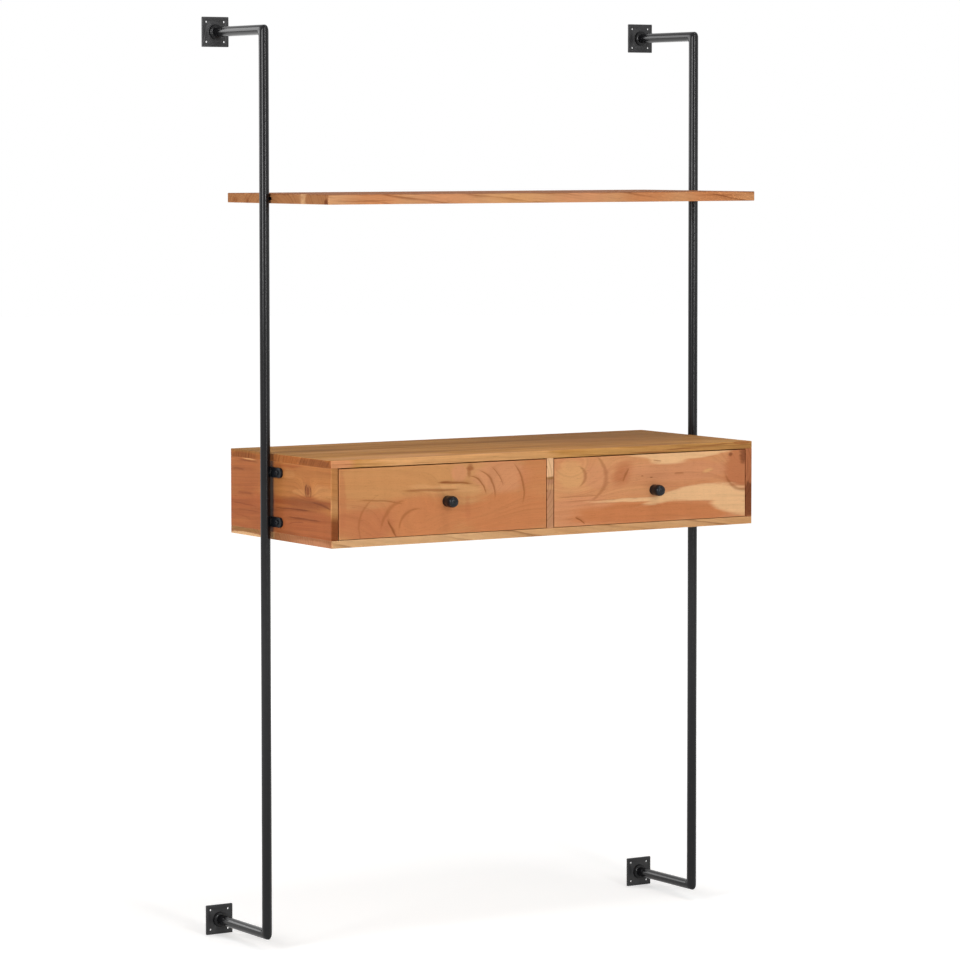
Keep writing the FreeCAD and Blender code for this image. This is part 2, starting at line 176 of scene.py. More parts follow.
def cloud(tree, point, stretch, detail=2.0, rough=0.5, output="Fac"):
    spread = vectorCalc(tree, "MULTIPLY", point, stretch)
    node = addNode(tree, "ShaderNodeTexNoise",
                   {"Vector": spread, "Scale": 1.0, "Detail": detail, "Roughness": rough})
    return node.outputs[output]


def blendColour(tree, amount, first, second):
    return addNode(tree, "ShaderNodeMix", {0: amount, 6: first, 7: second}, data_type="RGBA").outputs[2]


def addShares(tree, base, parts, shares):
    # adds to the base each named part in its own share
    for name, share in shares.items():
        base = calc(tree, "MULTIPLY_ADD", parts[name], share, base)
    return base


def openGroup(name, inputs, outputs):
    # a number makes a value socket, three numbers a vector and four a colour
    kinds = {0: "NodeSocketFloat", 3: "NodeSocketVector", 4: "NodeSocketColor"}
    tree = bpy.data.node_groups.new(name, "ShaderNodeTree")
    for way, sockets in (("INPUT", inputs), ("OUTPUT", outputs)):
        for label, value in sockets.items():
            length = len(value) if isinstance(value, tuple) else 0
            socket = tree.interface.new_socket(name=label, in_out=way, socket_type=kinds[length])
            socket.default_value = value
    return tree, tree.nodes.new("NodeGroupInput").outputs


def closeGroup(tree, **results):
    wanted = tree.nodes.new("NodeGroupOutput").inputs
    for name, value in results.items():
        plug(tree, value, wanted[name])
    return tree


def useGroup(tree, group, inputs):
    return addNode(tree, "ShaderNodeGroup", inputs, node_tree=group).outputs


def screenColour(red, green, blue):
    parts = [part / 255 for part in (red, green, blue)]
    return tuple(p / 12.92 if p <= 0.04045 else ((p + 0.055) / 1.055) ** 2.4 for p in parts) + (1.0,)


def newMaterial(name):
    material = bpy.data.materials.new(name)
    material.use_nodes = True
    tree = material.node_tree
    return material, tree, tree.nodes["Principled BSDF"]


def finishShader(tree, shader, skin, look):
    # skin is a group that gives a colour, a roughness and a height
    bump = addNode(tree, "ShaderNodeBump", {
        "Height": skin["Height"], "Strength": look["bump"], "Distance": bumpDepth})
    plug(tree, skin["Color"], shader.inputs["Base Color"])
    plug(tree, skin["Roughness"], shader.inputs["Roughness"])
    plug(tree, bump.outputs[0], shader.inputs["Normal"])
    shader.inputs["Metallic"].default_value = look.get("metallic", 0.0)
    shader.inputs["Specular IOR Level"].default_value = look["shine"]


# floor and world

studio = {
    "worldLevel": 0.30,
    "white": (1.0, 1.0, 1.0, 1.0),
    "floorColour": (0.86, 0.86, 0.855, 1.0),
    "floorLift": (0.40, 0.78),          # extra white that only the eye and reflections see, near and far
    "floorFade": (1.0, 3.5),            # metres over which it grows
    "floorRadius": 30.0,
    "floorSides": 96,
    "floorGap": 0.002,
}


def seenDirectly(tree):
    path = addNode(tree, "ShaderNodeLightPath").outputs
    seen = calc(tree, "MAXIMUM", path["Is Camera Ray"], path["Is Glossy Ray"])
    return calc(tree, "MAXIMUM", seen, path["Is Transmission Ray"])


def makeWorld(setup):
    world = bpy.data.worlds.new("paleStudio")
    world.use_nodes = True
    tree = world.node_tree
    tree.nodes.clear()
    soft, white = (addNode(tree, "ShaderNodeBackground", {"Color": setup["white"], "Strength": strength})
                   for strength in (setup["worldLevel"], 1.0))
    mix = addNode(tree, "ShaderNodeMixShader", {
        0: seenDirectly(tree), 1: soft.outputs[0], 2: white.outputs[0]})
    addNode(tree, "ShaderNodeOutputWorld", {"Surface": mix.outputs[0]})
    bpy.context.scene.world = world


def makeFloor(setup):
    shape = bmesh.new()
    level = cadBounds[0].z - setup["floorGap"]
    bmesh.ops.create_circle(shape, cap_ends=True, segments=setup["floorSides"], radius=setup["floorRadius"],
                            matrix=Matrix.Translation((0, 0, level)))
    mesh = bpy.data.meshes.new("paleFloor")
    shape.to_mesh(mesh)
    shape.free()
    material, tree = newMaterial("paleFloor")[:2]
    tree.nodes.clear()
    matt = addNode(tree, "ShaderNodeBsdfDiffuse", {"Color": setup["floorColour"]})
    point = addNode(tree, "ShaderNodeTexCoord").outputs["Object"]
    away = vectorCalc(tree, "LENGTH", vectorCalc(tree, "MULTIPLY", point, (1, 1, 0)))
    fade = ease(tree, away, *setup["floorFade"], *setup["floorLift"])
    lift = times(tree, seenDirectly(tree), fade)
    glow = addNode(tree, "ShaderNodeEmission", {"Color": setup["white"], "Strength": lift})
    both = addNode(tree, "ShaderNodeAddShader", {0: matt.outputs[0], 1: glow.outputs[0]})
    addNode(tree, "ShaderNodeOutputMaterial", {"Surface": both.outputs[0]})
    mesh.materials.append(material)
    placeObject("paleFloor", mesh)


makeWorld(studio)
makeFloor(studio)
print("floor and world made")


# wood

# each noise: how fine it is along, across and through the board, its detail and its roughness
woodNoises = {
    "slowWave": ((2.2, 7.0, 7.0), 1.5, 0.5),
    "fastWave": ((13.0, 42.0, 42.0), 2.5, 0.55),
    "ragged": ((14.0, 95.0, 95.0), 4.0, 0.6),
    "broadTone": ((1.9, 17.0, 5.0), 2.0, 0.5),
    "narrowTone": ((4.5, 75.0, 9.0), 3.0, 0.6),
    "ringWander": ((1.6, 60.0, 5.0), 2.0, 0.5),
    "presence": ((7.0, 45.0, 8.0), 2.0, 0.5),
    "streaks": ((3.2, 210.0, 16.0), 5.0, 0.68),
    "fibres": ((30.0, 1050.0, 1050.0), 2.0, 0.6),
    "ripple": ((42.0, 12.0, 12.0), 3.0, 0.6),
    "flecks": ((42.0, 420.0, 420.0), 2.0, 0.6),
    "pores": ((190.0, 2300.0, 2300.0), 1.0, 0.5),
    "edgeWobble": ((60.0, 60.0, 60.0), 3.0, 0.6),
}
grainSettings = {
    "seedStep": (3.17, 5.29, 1.93),     # how far a seed of 1 moves the noise
    "fastWave": 0.16,                   # share of the fast wave in the wander
    "wanderSides": (0.0, 2.0, 2.0),
    "drawnWander": 0.006,               # how far drawn patches and lines stray, in metres
    "narrowTone": 0.45,                 # share of the narrow noise in the tone
    "toneContrast": (0.36, 0.64),
    "patchNarrowest": 0.15,
    "edgeReach": (1.6, 0.2),            # how unevenly, and at least how far, an arris is rubbed
    "edgeFade": 0.2,
}
lineSettings = {
    "wander": 1.5,                      # in rings
    "darkest": 0.95,                    # how far across a ring its line is darkest
    "outside": (0.955, 0.995),
    "sharpness": 1.5,
    "presence": (0.40, 0.60),
    "fineCount": 4.3,                   # fine rings in each ring
    "fineWander": 5.0,
    "colour": (0.46, 0.34, 0.25),
}
strokeSettings = {
    "ends": 0.4,                        # thickness at the ends, as a share
    "fadeFrom": 0.6,                    # how far along a line starts to fade
    "swelling": 1.4,
    "thinnest": 0.0001,
    "core": (0.1, 1.7),
    "shadow": 0.34,                     # strength on the outer side
    "crisp": 0.0004,
    "overrun": 1.15,                    # drawn length over the length between its end points
}
# share of each part in the wood's brightness, roughness and height
figureShares = {
    "level": {"fibres": 0.16, "ripple": 0.14, "shade": -0.07, "flecks": -0.14, "pores": -0.25, "edges": 0.07},
    "rough": {"pores": 0.20, "lines": 0.07, "endGrain": 0.14, "edges": -0.08, "fibres": 0.10},
    "height": {"pores": -0.7, "fibres": 0.35, "streaks": 0.25, "lines": -0.18},
}
plainHeight = 0.7
endGrainDark = 0.14
fleckRange = (0.62, 0.74)
poreRange = (0.64, 0.74)


def woodNoise(tree, point, kind, output="Fac"):
    return cloud(tree, point, *woodNoises[kind], output)


def woodSwing(tree, point, kind):
    # noise that swings evenly about zero
    return calc(tree, "SUBTRACT", woodNoise(tree, point, kind), 0.5)


def makeWoodFlow(look):
    # bends the point sideways so that grain lines waver along the board
    tree, given = openGroup("woodFlow", {"Point": origin, "Wander": 0.01, "Seed": 0.0},
                            {"Point": origin, "Place": origin, "Drawn": origin, "Ragged": 0.0})
    place = vectorCalc(tree, "ADD", given["Point"], scaled(tree, look["seedStep"], given["Seed"]))
    slow, fast = (vectorCalc(tree, "SUBTRACT", woodNoise(tree, place, kind, "Color"), (0.5, 0.5, 0.5))
                  for kind in ("slowWave", "fastWave"))
    both = vectorCalc(tree, "ADD", slow, scaled(tree, fast, look["fastWave"]))
    across = vectorCalc(tree, "MULTIPLY", scaled(tree, both, given["Wander"]), look["wanderSides"])
    return closeGroup(tree, Point=vectorCalc(tree, "ADD", given["Point"], across), Place=place,
                      Drawn=vectorCalc(tree, "ADD", given["Point"], scaled(tree, fast, look["drawnWander"])),
                      Ragged=woodSwing(tree, place, "ragged"))


def makeRingField():
    # height of the growth rings, in metres from the heart of the trunk
    tree, given = openGroup("ringField", {"Point": origin, "Heart": (0.0, 0.0, -0.1), "Taper": 0.0},
                            {"Rings": 0.0})
    fromHeart = vectorCalc(tree, "SUBTRACT", given["Point"], given["Heart"])
    away = vectorCalc(tree, "LENGTH", vectorCalc(tree, "MULTIPLY", fromHeart, (0, 1, 1)))
    lean = times(tree, split(tree, given["Point"])["X"], given["Taper"])
    return closeGroup(tree, Rings=calc(tree, "ADD", away, lean))


def makeGrainSwirl():
    # lifts the rings into a rounded hill, which draws arcs round its middle
    tree, given = openGroup(
        "grainSwirl",
        {"Rings": 0.0, "Point": origin, "Centre": origin, "Spread": (0.05, 0.02, 0.05), "Lift": 0.02},
        {"Rings": 0.0})
    away = vectorCalc(tree, "SUBTRACT", given["Point"], given["Centre"])
    distance = vectorCalc(tree, "LENGTH", vectorCalc(tree, "DIVIDE", away, given["Spread"]))
    slope = times(tree, times(tree, distance, distance), -1.0)
    hill = calc(tree, "EXPONENT", slope)
    return closeGroup(tree, Rings=calc(tree, "MULTIPLY_ADD", hill, given["Lift"], given["Rings"]))


def makeGrainFrame():
    # distances along and across a bent line that is drawn on the face of a board
    tree, given = openGroup("grainFrame", {"Point": origin, "Centre": origin, "Tilt": 0.0, "Bend": 0.0},
                            {"Along": 0.0, "Across": 0.0, "Depth": 0.0})
    away = vectorCalc(tree, "SUBTRACT", given["Point"], given["Centre"])
    back = times(tree, given["Tilt"], -1.0)
    turned = addNode(tree, "ShaderNodeVectorRotate", {"Vector": away, "Angle": back}, rotation_type="Z_AXIS")
    parts = split(tree, turned.outputs[0])
    sag = times(tree, given["Bend"], times(tree, parts["X"], parts["X"]))
    across = calc(tree, "SUBTRACT", parts["Y"], sag)
    return closeGroup(tree, Along=parts["X"], Across=across, Depth=parts["Z"])


def useFrame(tree, given):
    return useGroup(tree, grainFrame, {name: given[name] for name in ("Point", "Centre", "Tilt", "Bend")})


def makeGrainPatch(look):
    # a soft patch along the grain, such as sapwood, heartwood or a knot
    tree, given = openGroup(
        "grainPatch",
        {"Point": origin, "Centre": origin, "Spread": (0.05, 0.01, 0.05), "Tilt": 0.0, "Bend": 0.0,
         "Widening": 0.0, "Unevenness": 0.0, "Softness": 0.25, "Strength": 1.0},
        {"Mask": 0.0})
    local = useFrame(tree, given)
    away = join(tree, local["Along"], local["Across"], local["Depth"])
    parts = split(tree, vectorCalc(tree, "DIVIDE", away, given["Spread"]))
    width = calc(tree, "MULTIPLY_ADD", parts["X"], given["Widening"], 1.0)
    width = calc(tree, "MAXIMUM", width, look["patchNarrowest"])
    shaped = join(tree, parts["X"], calc(tree, "DIVIDE", parts["Y"], width), parts["Z"])
    reach = calc(tree, "ADD", vectorCalc(tree, "LENGTH", shaped), given["Unevenness"])
    inner = calc(tree, "SUBTRACT", 1.0, given["Softness"])
    outer = calc(tree, "ADD", 1.0, given["Softness"])
    inside = ease(tree, reach, inner, outer, 1.0, 0.0)
    return closeGroup(tree, Mask=times(tree, inside, given["Strength"]))


def makeGrainStroke(look):
    # one dark growth line: crisp on its inner side, fading on its outer side, thin at both ends
    tree, given = openGroup(
        "grainStroke",
        {"Mask": 0.0, "Point": origin, "Centre": origin, "Tilt": 0.0, "Bend": 0.0, "Half Length": 0.03,
         "Thickness": 0.001, "Fade": 0.006, "Side": 1.0, "Unevenness": 0.0, "Strength": 1.0},
        {"Mask": 0.0})
    local = useFrame(tree, given)
    along = calc(tree, "ABSOLUTE", calc(tree, "DIVIDE", local["Along"], given["Half Length"]))
    across = times(tree, local["Across"], given["Side"])
    middle = calc(tree, "SUBTRACT", 1.0, times(tree, along, along))
    taper = calc(tree, "MULTIPLY_ADD", middle, 1 - look["ends"], look["ends"])
    swelling = calc(tree, "MULTIPLY_ADD", given["Unevenness"], look["swelling"], 1.0)
    thick = times(tree, times(tree, given["Thickness"], taper), swelling)
    thick = calc(tree, "MAXIMUM", thick, look["thinnest"])
    share = calc(tree, "DIVIDE", calc(tree, "ABSOLUTE", across), thick)
    core = ease(tree, share, *look["core"], 1.0, 0.0)
    shadow = ease(tree, across, 0.0, given["Fade"], look["shadow"], 0.0)
    outer = times(tree, shadow, ease(tree, across, -look["crisp"], look["crisp"]))
    window = times(tree, ease(tree, along, look["fadeFrom"], 1.0, 1.0, 0.0), given["Strength"])
    mark = times(tree, calc(tree, "MAXIMUM", core, outer), window)
    return closeGroup(tree, Mask=calc(tree, "MAXIMUM", given["Mask"], mark))


def makeWoodTone(look):
    # the slow change between two browns that follows the rings
    tree, given = openGroup(
        "woodTone",
        {"Place": origin, "Rings": 0.0, "Light Wood": anyColour, "Deep Wood": anyColour, "Deepness": 0.0},
        {"Ground": anyColour, "Ringed": origin})
    parts = split(tree, given["Place"])
    ringed = join(tree, parts["X"], given["Rings"], parts["Z"])
    broad = times(tree, woodNoise(tree, ringed, "broadTone"), 1 - look["narrowTone"])
    tone = calc(tree, "MULTIPLY_ADD", woodNoise(tree, ringed, "narrowTone"), look["narrowTone"], broad)
    amount = calc(tree, "ADD", ease(tree, tone, *look["toneContrast"]), given["Deepness"])
    amount = calc(tree, "MINIMUM", calc(tree, "MAXIMUM", amount, 0.0), 1.0)
    ground = blendColour(tree, amount, given["Light Wood"], given["Deep Wood"])
    return closeGroup(tree, Ground=ground, Ringed=ringed)


def makeWoodFigure(look, shares):
    # growth lines, streaks, fibres and pores of oiled acacia, drawn over the ground colour
    tree, given = openGroup(
        "woodFigure",
        {"Place": origin, "Ringed": origin, "Rings": 0.0, "Ground": anyColour, "Ring Width": 0.008,
         "Lines": 0.6, "Thinness": 0.8, "Fine Rings": 0.14, "Streaks": 0.2, "Drawn": 0.0,
         "Drawn Colour": anyColour, "End Grain": 0.0, "Edge Mask": 0.0, "Matte": 0.56},
        {"Color": anyColour, "Roughness": 0.5, "Height": 0.0})

    # growth lines are dark on their outer side, and come and go along the board
    count = calc(tree, "DIVIDE", given["Rings"], given["Ring Width"])
    uneven = woodNoise(tree, given["Ringed"], "ringWander")
    phase = calc(tree, "FRACT", calc(tree, "MULTIPLY_ADD", uneven, look["wander"], count))
    sharp = calc(tree, "POWER", ease(tree, phase, given["Thinness"], look["darkest"]), look["sharpness"])
    line = times(tree, sharp, ease(tree, phase, *look["outside"], 1.0, 0.0))
    presence = ease(tree, woodNoise(tree, given["Ringed"], "presence"), *look["presence"])
    fineCount = times(tree, count, look["fineCount"])
    fineCount = calc(tree, "MULTIPLY_ADD", uneven, look["fineWander"], fineCount)
    fine = calc(tree, "SUBTRACT", calc(tree, "PINGPONG", fineCount, 0.5), 0.25)

    # streaks follow the rings, and fibres and pores run straight along the board
    parts = {
        "lines": times(tree, line, presence),
        "shade": times(tree, times(tree, phase, phase), presence),
        "streaks": woodSwing(tree, given["Ringed"], "streaks"),
        "fibres": woodSwing(tree, given["Place"], "fibres"),
        "ripple": woodSwing(tree, given["Place"], "ripple"),
        "flecks": ease(tree, woodNoise(tree, given["Place"], "flecks"), *fleckRange),
        "pores": ease(tree, woodNoise(tree, given["Place"], "pores"), *poreRange),
        "endGrain": given["End Grain"],
        "edges": given["Edge Mask"],
    }
    level = calc(tree, "MULTIPLY_ADD", parts["streaks"], given["Streaks"], 1.0)
    level = calc(tree, "SUBTRACT", level, times(tree, fine, given["Fine Rings"]))
    level = addShares(tree, level, parts, shares["level"])
    level = times(tree, level, calc(tree, "MULTIPLY_ADD", given["End Grain"], -endGrainDark, 1.0))
    colour = scaled(tree, given["Ground"], level)
    darker = vectorCalc(tree, "MULTIPLY", colour, look["colour"])
    lined = blendColour(tree, times(tree, parts["lines"], given["Lines"]), colour, darker)
    return closeGroup(tree, Color=blendColour(tree, given["Drawn"], lined, given["Drawn Colour"]),
                      Roughness=addShares(tree, given["Matte"], parts, shares["rough"]),
                      Height=addShares(tree, plainHeight, parts, shares["height"]))


def makeBoardEdges(look):
    # marks the arrises of a board, a little unevenly, where hands and sanding have been
    tree, given = openGroup(
        "boardEdges", {"Point": origin, "Half Size": (0.5, 0.2, 0.0075), "Width": 0.003}, {"Mask": 0.0})
    inside = vectorCalc(tree, "SUBTRACT", given["Half Size"], vectorCalc(tree, "ABSOLUTE", given["Point"]))
    parts = split(tree, inside)
    lower = calc(tree, "MINIMUM", parts["X"], parts["Y"])
    upper = calc(tree, "MAXIMUM", parts["X"], parts["Y"])
    middle = calc(tree, "MAXIMUM", lower, calc(tree, "MINIMUM", upper, parts["Z"]))
    wobble = calc(tree, "MULTIPLY_ADD", woodNoise(tree, given["Point"], "edgeWobble"), *look["edgeReach"])
    share = calc(tree, "DIVIDE", middle, times(tree, given["Width"], wobble))
    return closeGroup(tree, Mask=ease(tree, share, look["edgeFade"], 1.0, 1.0, 0.0))


woodFlow = makeWoodFlow(grainSettings)
ringField = makeRingField()
grainSwirl = makeGrainSwirl()
grainFrame = makeGrainFrame()
grainPatch = makeGrainPatch(grainSettings)
grainStroke = makeGrainStroke(strokeSettings)
woodTone = makeWoodTone(grainSettings)
woodFigure = makeWoodFigure(lineSettings, figureShares)
boardEdges = makeBoardEdges(grainSettings)

# rows say which way the board's length, width and thickness run
boardTurns = {
    "flat": Matrix(((1, 0, 0), (0, 1, 0), (0, 0, 1))),
    "front": Matrix(((1, 0, 0), (0, 0, 1), (0, -1, 0))),
    "side": Matrix(((0, 1, 0), (0, 0, 1), (1, 0, 0))),
}
# the browns of oiled acacia, as they look on a plainly lit board, and a near-black painted shadow for the
# side panel just in front of the left upright
woodColours = {
    "cream": (222, 175, 127), "sap": (205, 152, 100), "honey": (190, 134, 82), "rose": (198, 134, 94),
    "russet": (188, 117, 72), "heartwood": (177, 107, 68), "olive": (152, 106, 60), "brown": (148, 88, 50),
    "bark": (125, 70, 40), "stain": (14, 6, 3),
}
acacia = {
    "light": screenColour(198, 146, 96),
    "deep": screenColour(190, 122, 76),
    "deepness": 0.0,
    "lines": 0.6,
    "thinness": 0.72,
    "fineRings": 0.14,
    "drawnColour": screenColour(132, 74, 36),
    "streaks": 0.35,
    "ringWidth": 0.009,
    "wander": 0.010,
    "heart": (0.03, -0.09),
    "taper": 0.05,
    "seed": 1.0,
    "swirls": [],
    "swirlDepth": 0.06,
    "shade": (1.0, 1.0, 1.0),           # each wood colour is multiplied by this; the left side panel's darker, redder value is painted shade
    "tints": [],
    "strokes": [],
    "strokeFade": 0.007,
    "endGrainFrom": (0.5, 0.9),
    "endTint": 0.8,
    "shine": 0.12,
    "matte": 0.56,
    "bump": 0.25,
}
# how much the lines of one family differ from each other, as shares
lineSway = {
    "step": 2.4, "radius": 0.04, "sweep": 14, "thick": 0.3, "arcStrength": 0.2,
    "length": 0.3, "rise": 0.8, "start": 0.12, "sag": 1.5, "streakStrength": 0.3,
}


plainSpot = {"level": 0.0, "depth": 0.05, "tilt": 0.0, "bend": 0.0, "widening": 0.0, "ragged": 0.8,
             "soft": 0.25, "strength": 1.0}


def spot(wood, place, size, **extras):
    return {**plainSpot, "wood": wood, "at": place, "size": size, **extras}


def sway(row, kind):
    # a repeatable unevenness, 0 in the first row
    return lineSway[kind] * math.sin(lineSway["step"] * row)


def arcs(centre, radius, sweep, thick, strength, count=1, growth=1.0, closing=0.0, tall=1.0):
    # growth lines that bend round one centre, each wider than the one before
    lines = []
    for ring in range(count):
        reach = radius * growth ** ring * (1 + sway(ring, "radius"))
        first = sweep[0] + closing * ring
        last = sweep[1] - sway(ring, "sweep")
        turns = [math.radians(turn) for turn in (first, (first + last) / 2, last)]
        points = tuple((centre[0] + reach * math.cos(turn), centre[1] + reach * tall * math.sin(turn))
                       for turn in turns)
        fading = 1 - abs(sway(ring, "arcStrength"))
        lines.append((points, thick * (1 + sway(ring, "thick")), strength * fading))
    return lines


def streaks(start, length, rise, thick, strength, count=1, shift=(0.0, 0.0), growth=1.0, sag=0.001):
    # growth lines that run nearly side by side along the board
    lines = []
    for row in range(count):
        run = length * growth ** row * (1 + sway(row, "length"))
        drop = rise * (1 - sway(row, "rise"))
        begin = (start[0] + shift[0] * row + length * sway(row, "start"), start[1] + shift[1] * row)
        through = (begin[0] + run / 2, begin[1] + drop / 2 + sag * (1 - sway(row, "sag")))
        points = (begin, through, (begin[0] + run, begin[1] + drop))
        fading = 1 - abs(sway(row, "streakStrength"))
        lines.append((points, thick * (1 + sway(row, "thick")), strength * fading))
    return lines


def patch(tree, flow, place):
    return useGroup(tree, grainPatch, {
        "Point": flow["Drawn"], "Centre": (*place["at"], place["level"]),
        "Spread": (*place["size"], place["depth"]), "Tilt": math.radians(place["tilt"]),
        "Bend": place["bend"], "Widening": place["widening"], "Softness": place["soft"],
        "Unevenness": times(tree, flow["Ragged"], place["ragged"]), "Strength": place["strength"]})["Mask"]


def stroke(tree, mask, flow, fade, points, thick, strength):
    # points are where the line starts, passes and ends on the board
    start, through, end = (Vector(point) for point in points)
    run = end - start
    middle = (start + end) / 2
    normal = Vector((-run.y, run.x)).normalized()
    half = run.length / 2
    sag = (through - middle).dot(normal)
    return useGroup(tree, grainStroke, {
        "Mask": mask, "Point": flow["Drawn"], "Centre": (*(middle + normal * sag), 0.0),
        "Tilt": math.atan2(run.y, run.x), "Bend": -sag / half ** 2,
        "Half Length": half * strokeSettings["overrun"], "Thickness": thick, "Fade": fade,
        "Side": 1.0 if sag > 0 else -1.0, "Unevenness": flow["Ragged"], "Strength": strength})["Mask"]


def finishBoard(board):
    look = {**acacia, **board}
    material, tree, shader = newMaterial(look["name"])
    low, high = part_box(look["node"])
    axes = boardTurns[look["turn"]]
    halfSize = tuple(abs(part) / 2 for part in axes @ (high - low))
    coords = addNode(tree, "ShaderNodeTexCoord").outputs
    point = addNode(tree, "ShaderNodeMapping", {
        "Vector": coords["Object"], "Location": tuple(-(axes @ ((low + high) / 2))),
        "Rotation": tuple(axes.to_euler())}).outputs[0]
    flow = useGroup(tree, woodFlow, {"Point": point, "Wander": look["wander"], "Seed": look["seed"]})
    rings = useGroup(tree, ringField, {
        "Point": flow["Point"], "Heart": (0.0, *look["heart"]), "Taper": look["taper"]})["Rings"]
    for swirl in look["swirls"]:
        rings = useGroup(tree, grainSwirl, {
            "Rings": rings, "Point": flow["Point"], "Centre": (*swirl["at"], 0.0),
            "Spread": (*swirl["size"], look["swirlDepth"]), "Lift": swirl["lift"]})["Rings"]
    tone = useGroup(tree, woodTone, {
        "Place": flow["Place"], "Rings": rings, "Light Wood": look["light"], "Deep Wood": look["deep"],
        "Deepness": look["deepness"]})
    facing = split(tree, coords["Normal"])["Y" if look["turn"] == "side" else "X"]
    endGrain = ease(tree, calc(tree, "ABSOLUTE", facing), *look["endGrainFrom"])
    ground = tone["Ground"]
    if "endColour" in look:
        amount = times(tree, endGrain, look["endTint"])
        ground = blendColour(tree, amount, ground, look["endColour"])
    for tint in look["tints"]:
        shaded = (part * share for part, share in zip(woodColours[tint["wood"]], look["shade"]))
        ground = blendColour(tree, patch(tree, flow, tint), ground, screenColour(*shaded))
    drawn = 0.0
    for line in look["strokes"]:
        drawn = stroke(tree, drawn, flow, look["strokeFade"], *line)
    edges = useGroup(tree, boardEdges, {"Point": point, "Half Size": halfSize})["Mask"]
    figure = useGroup(tree, woodFigure, {
        "Place": flow["Place"], "Ringed": tone["Ringed"], "Rings": rings, "Ground": ground,
        "Ring Width": look["ringWidth"], "Lines": look["lines"], "Thinness": look["thinness"],
        "Fine Rings": look["fineRings"], "Streaks": look["streaks"], "Drawn": drawn,
        "Drawn Colour": look["drawnColour"], "End Grain": endGrain, "Edge Mask": edges,
        "Matte": look["matte"]})
    finishShader(tree, shader, figure, look)
    for slot in nodes[look["node"]].material_slots:
        slot.material = material


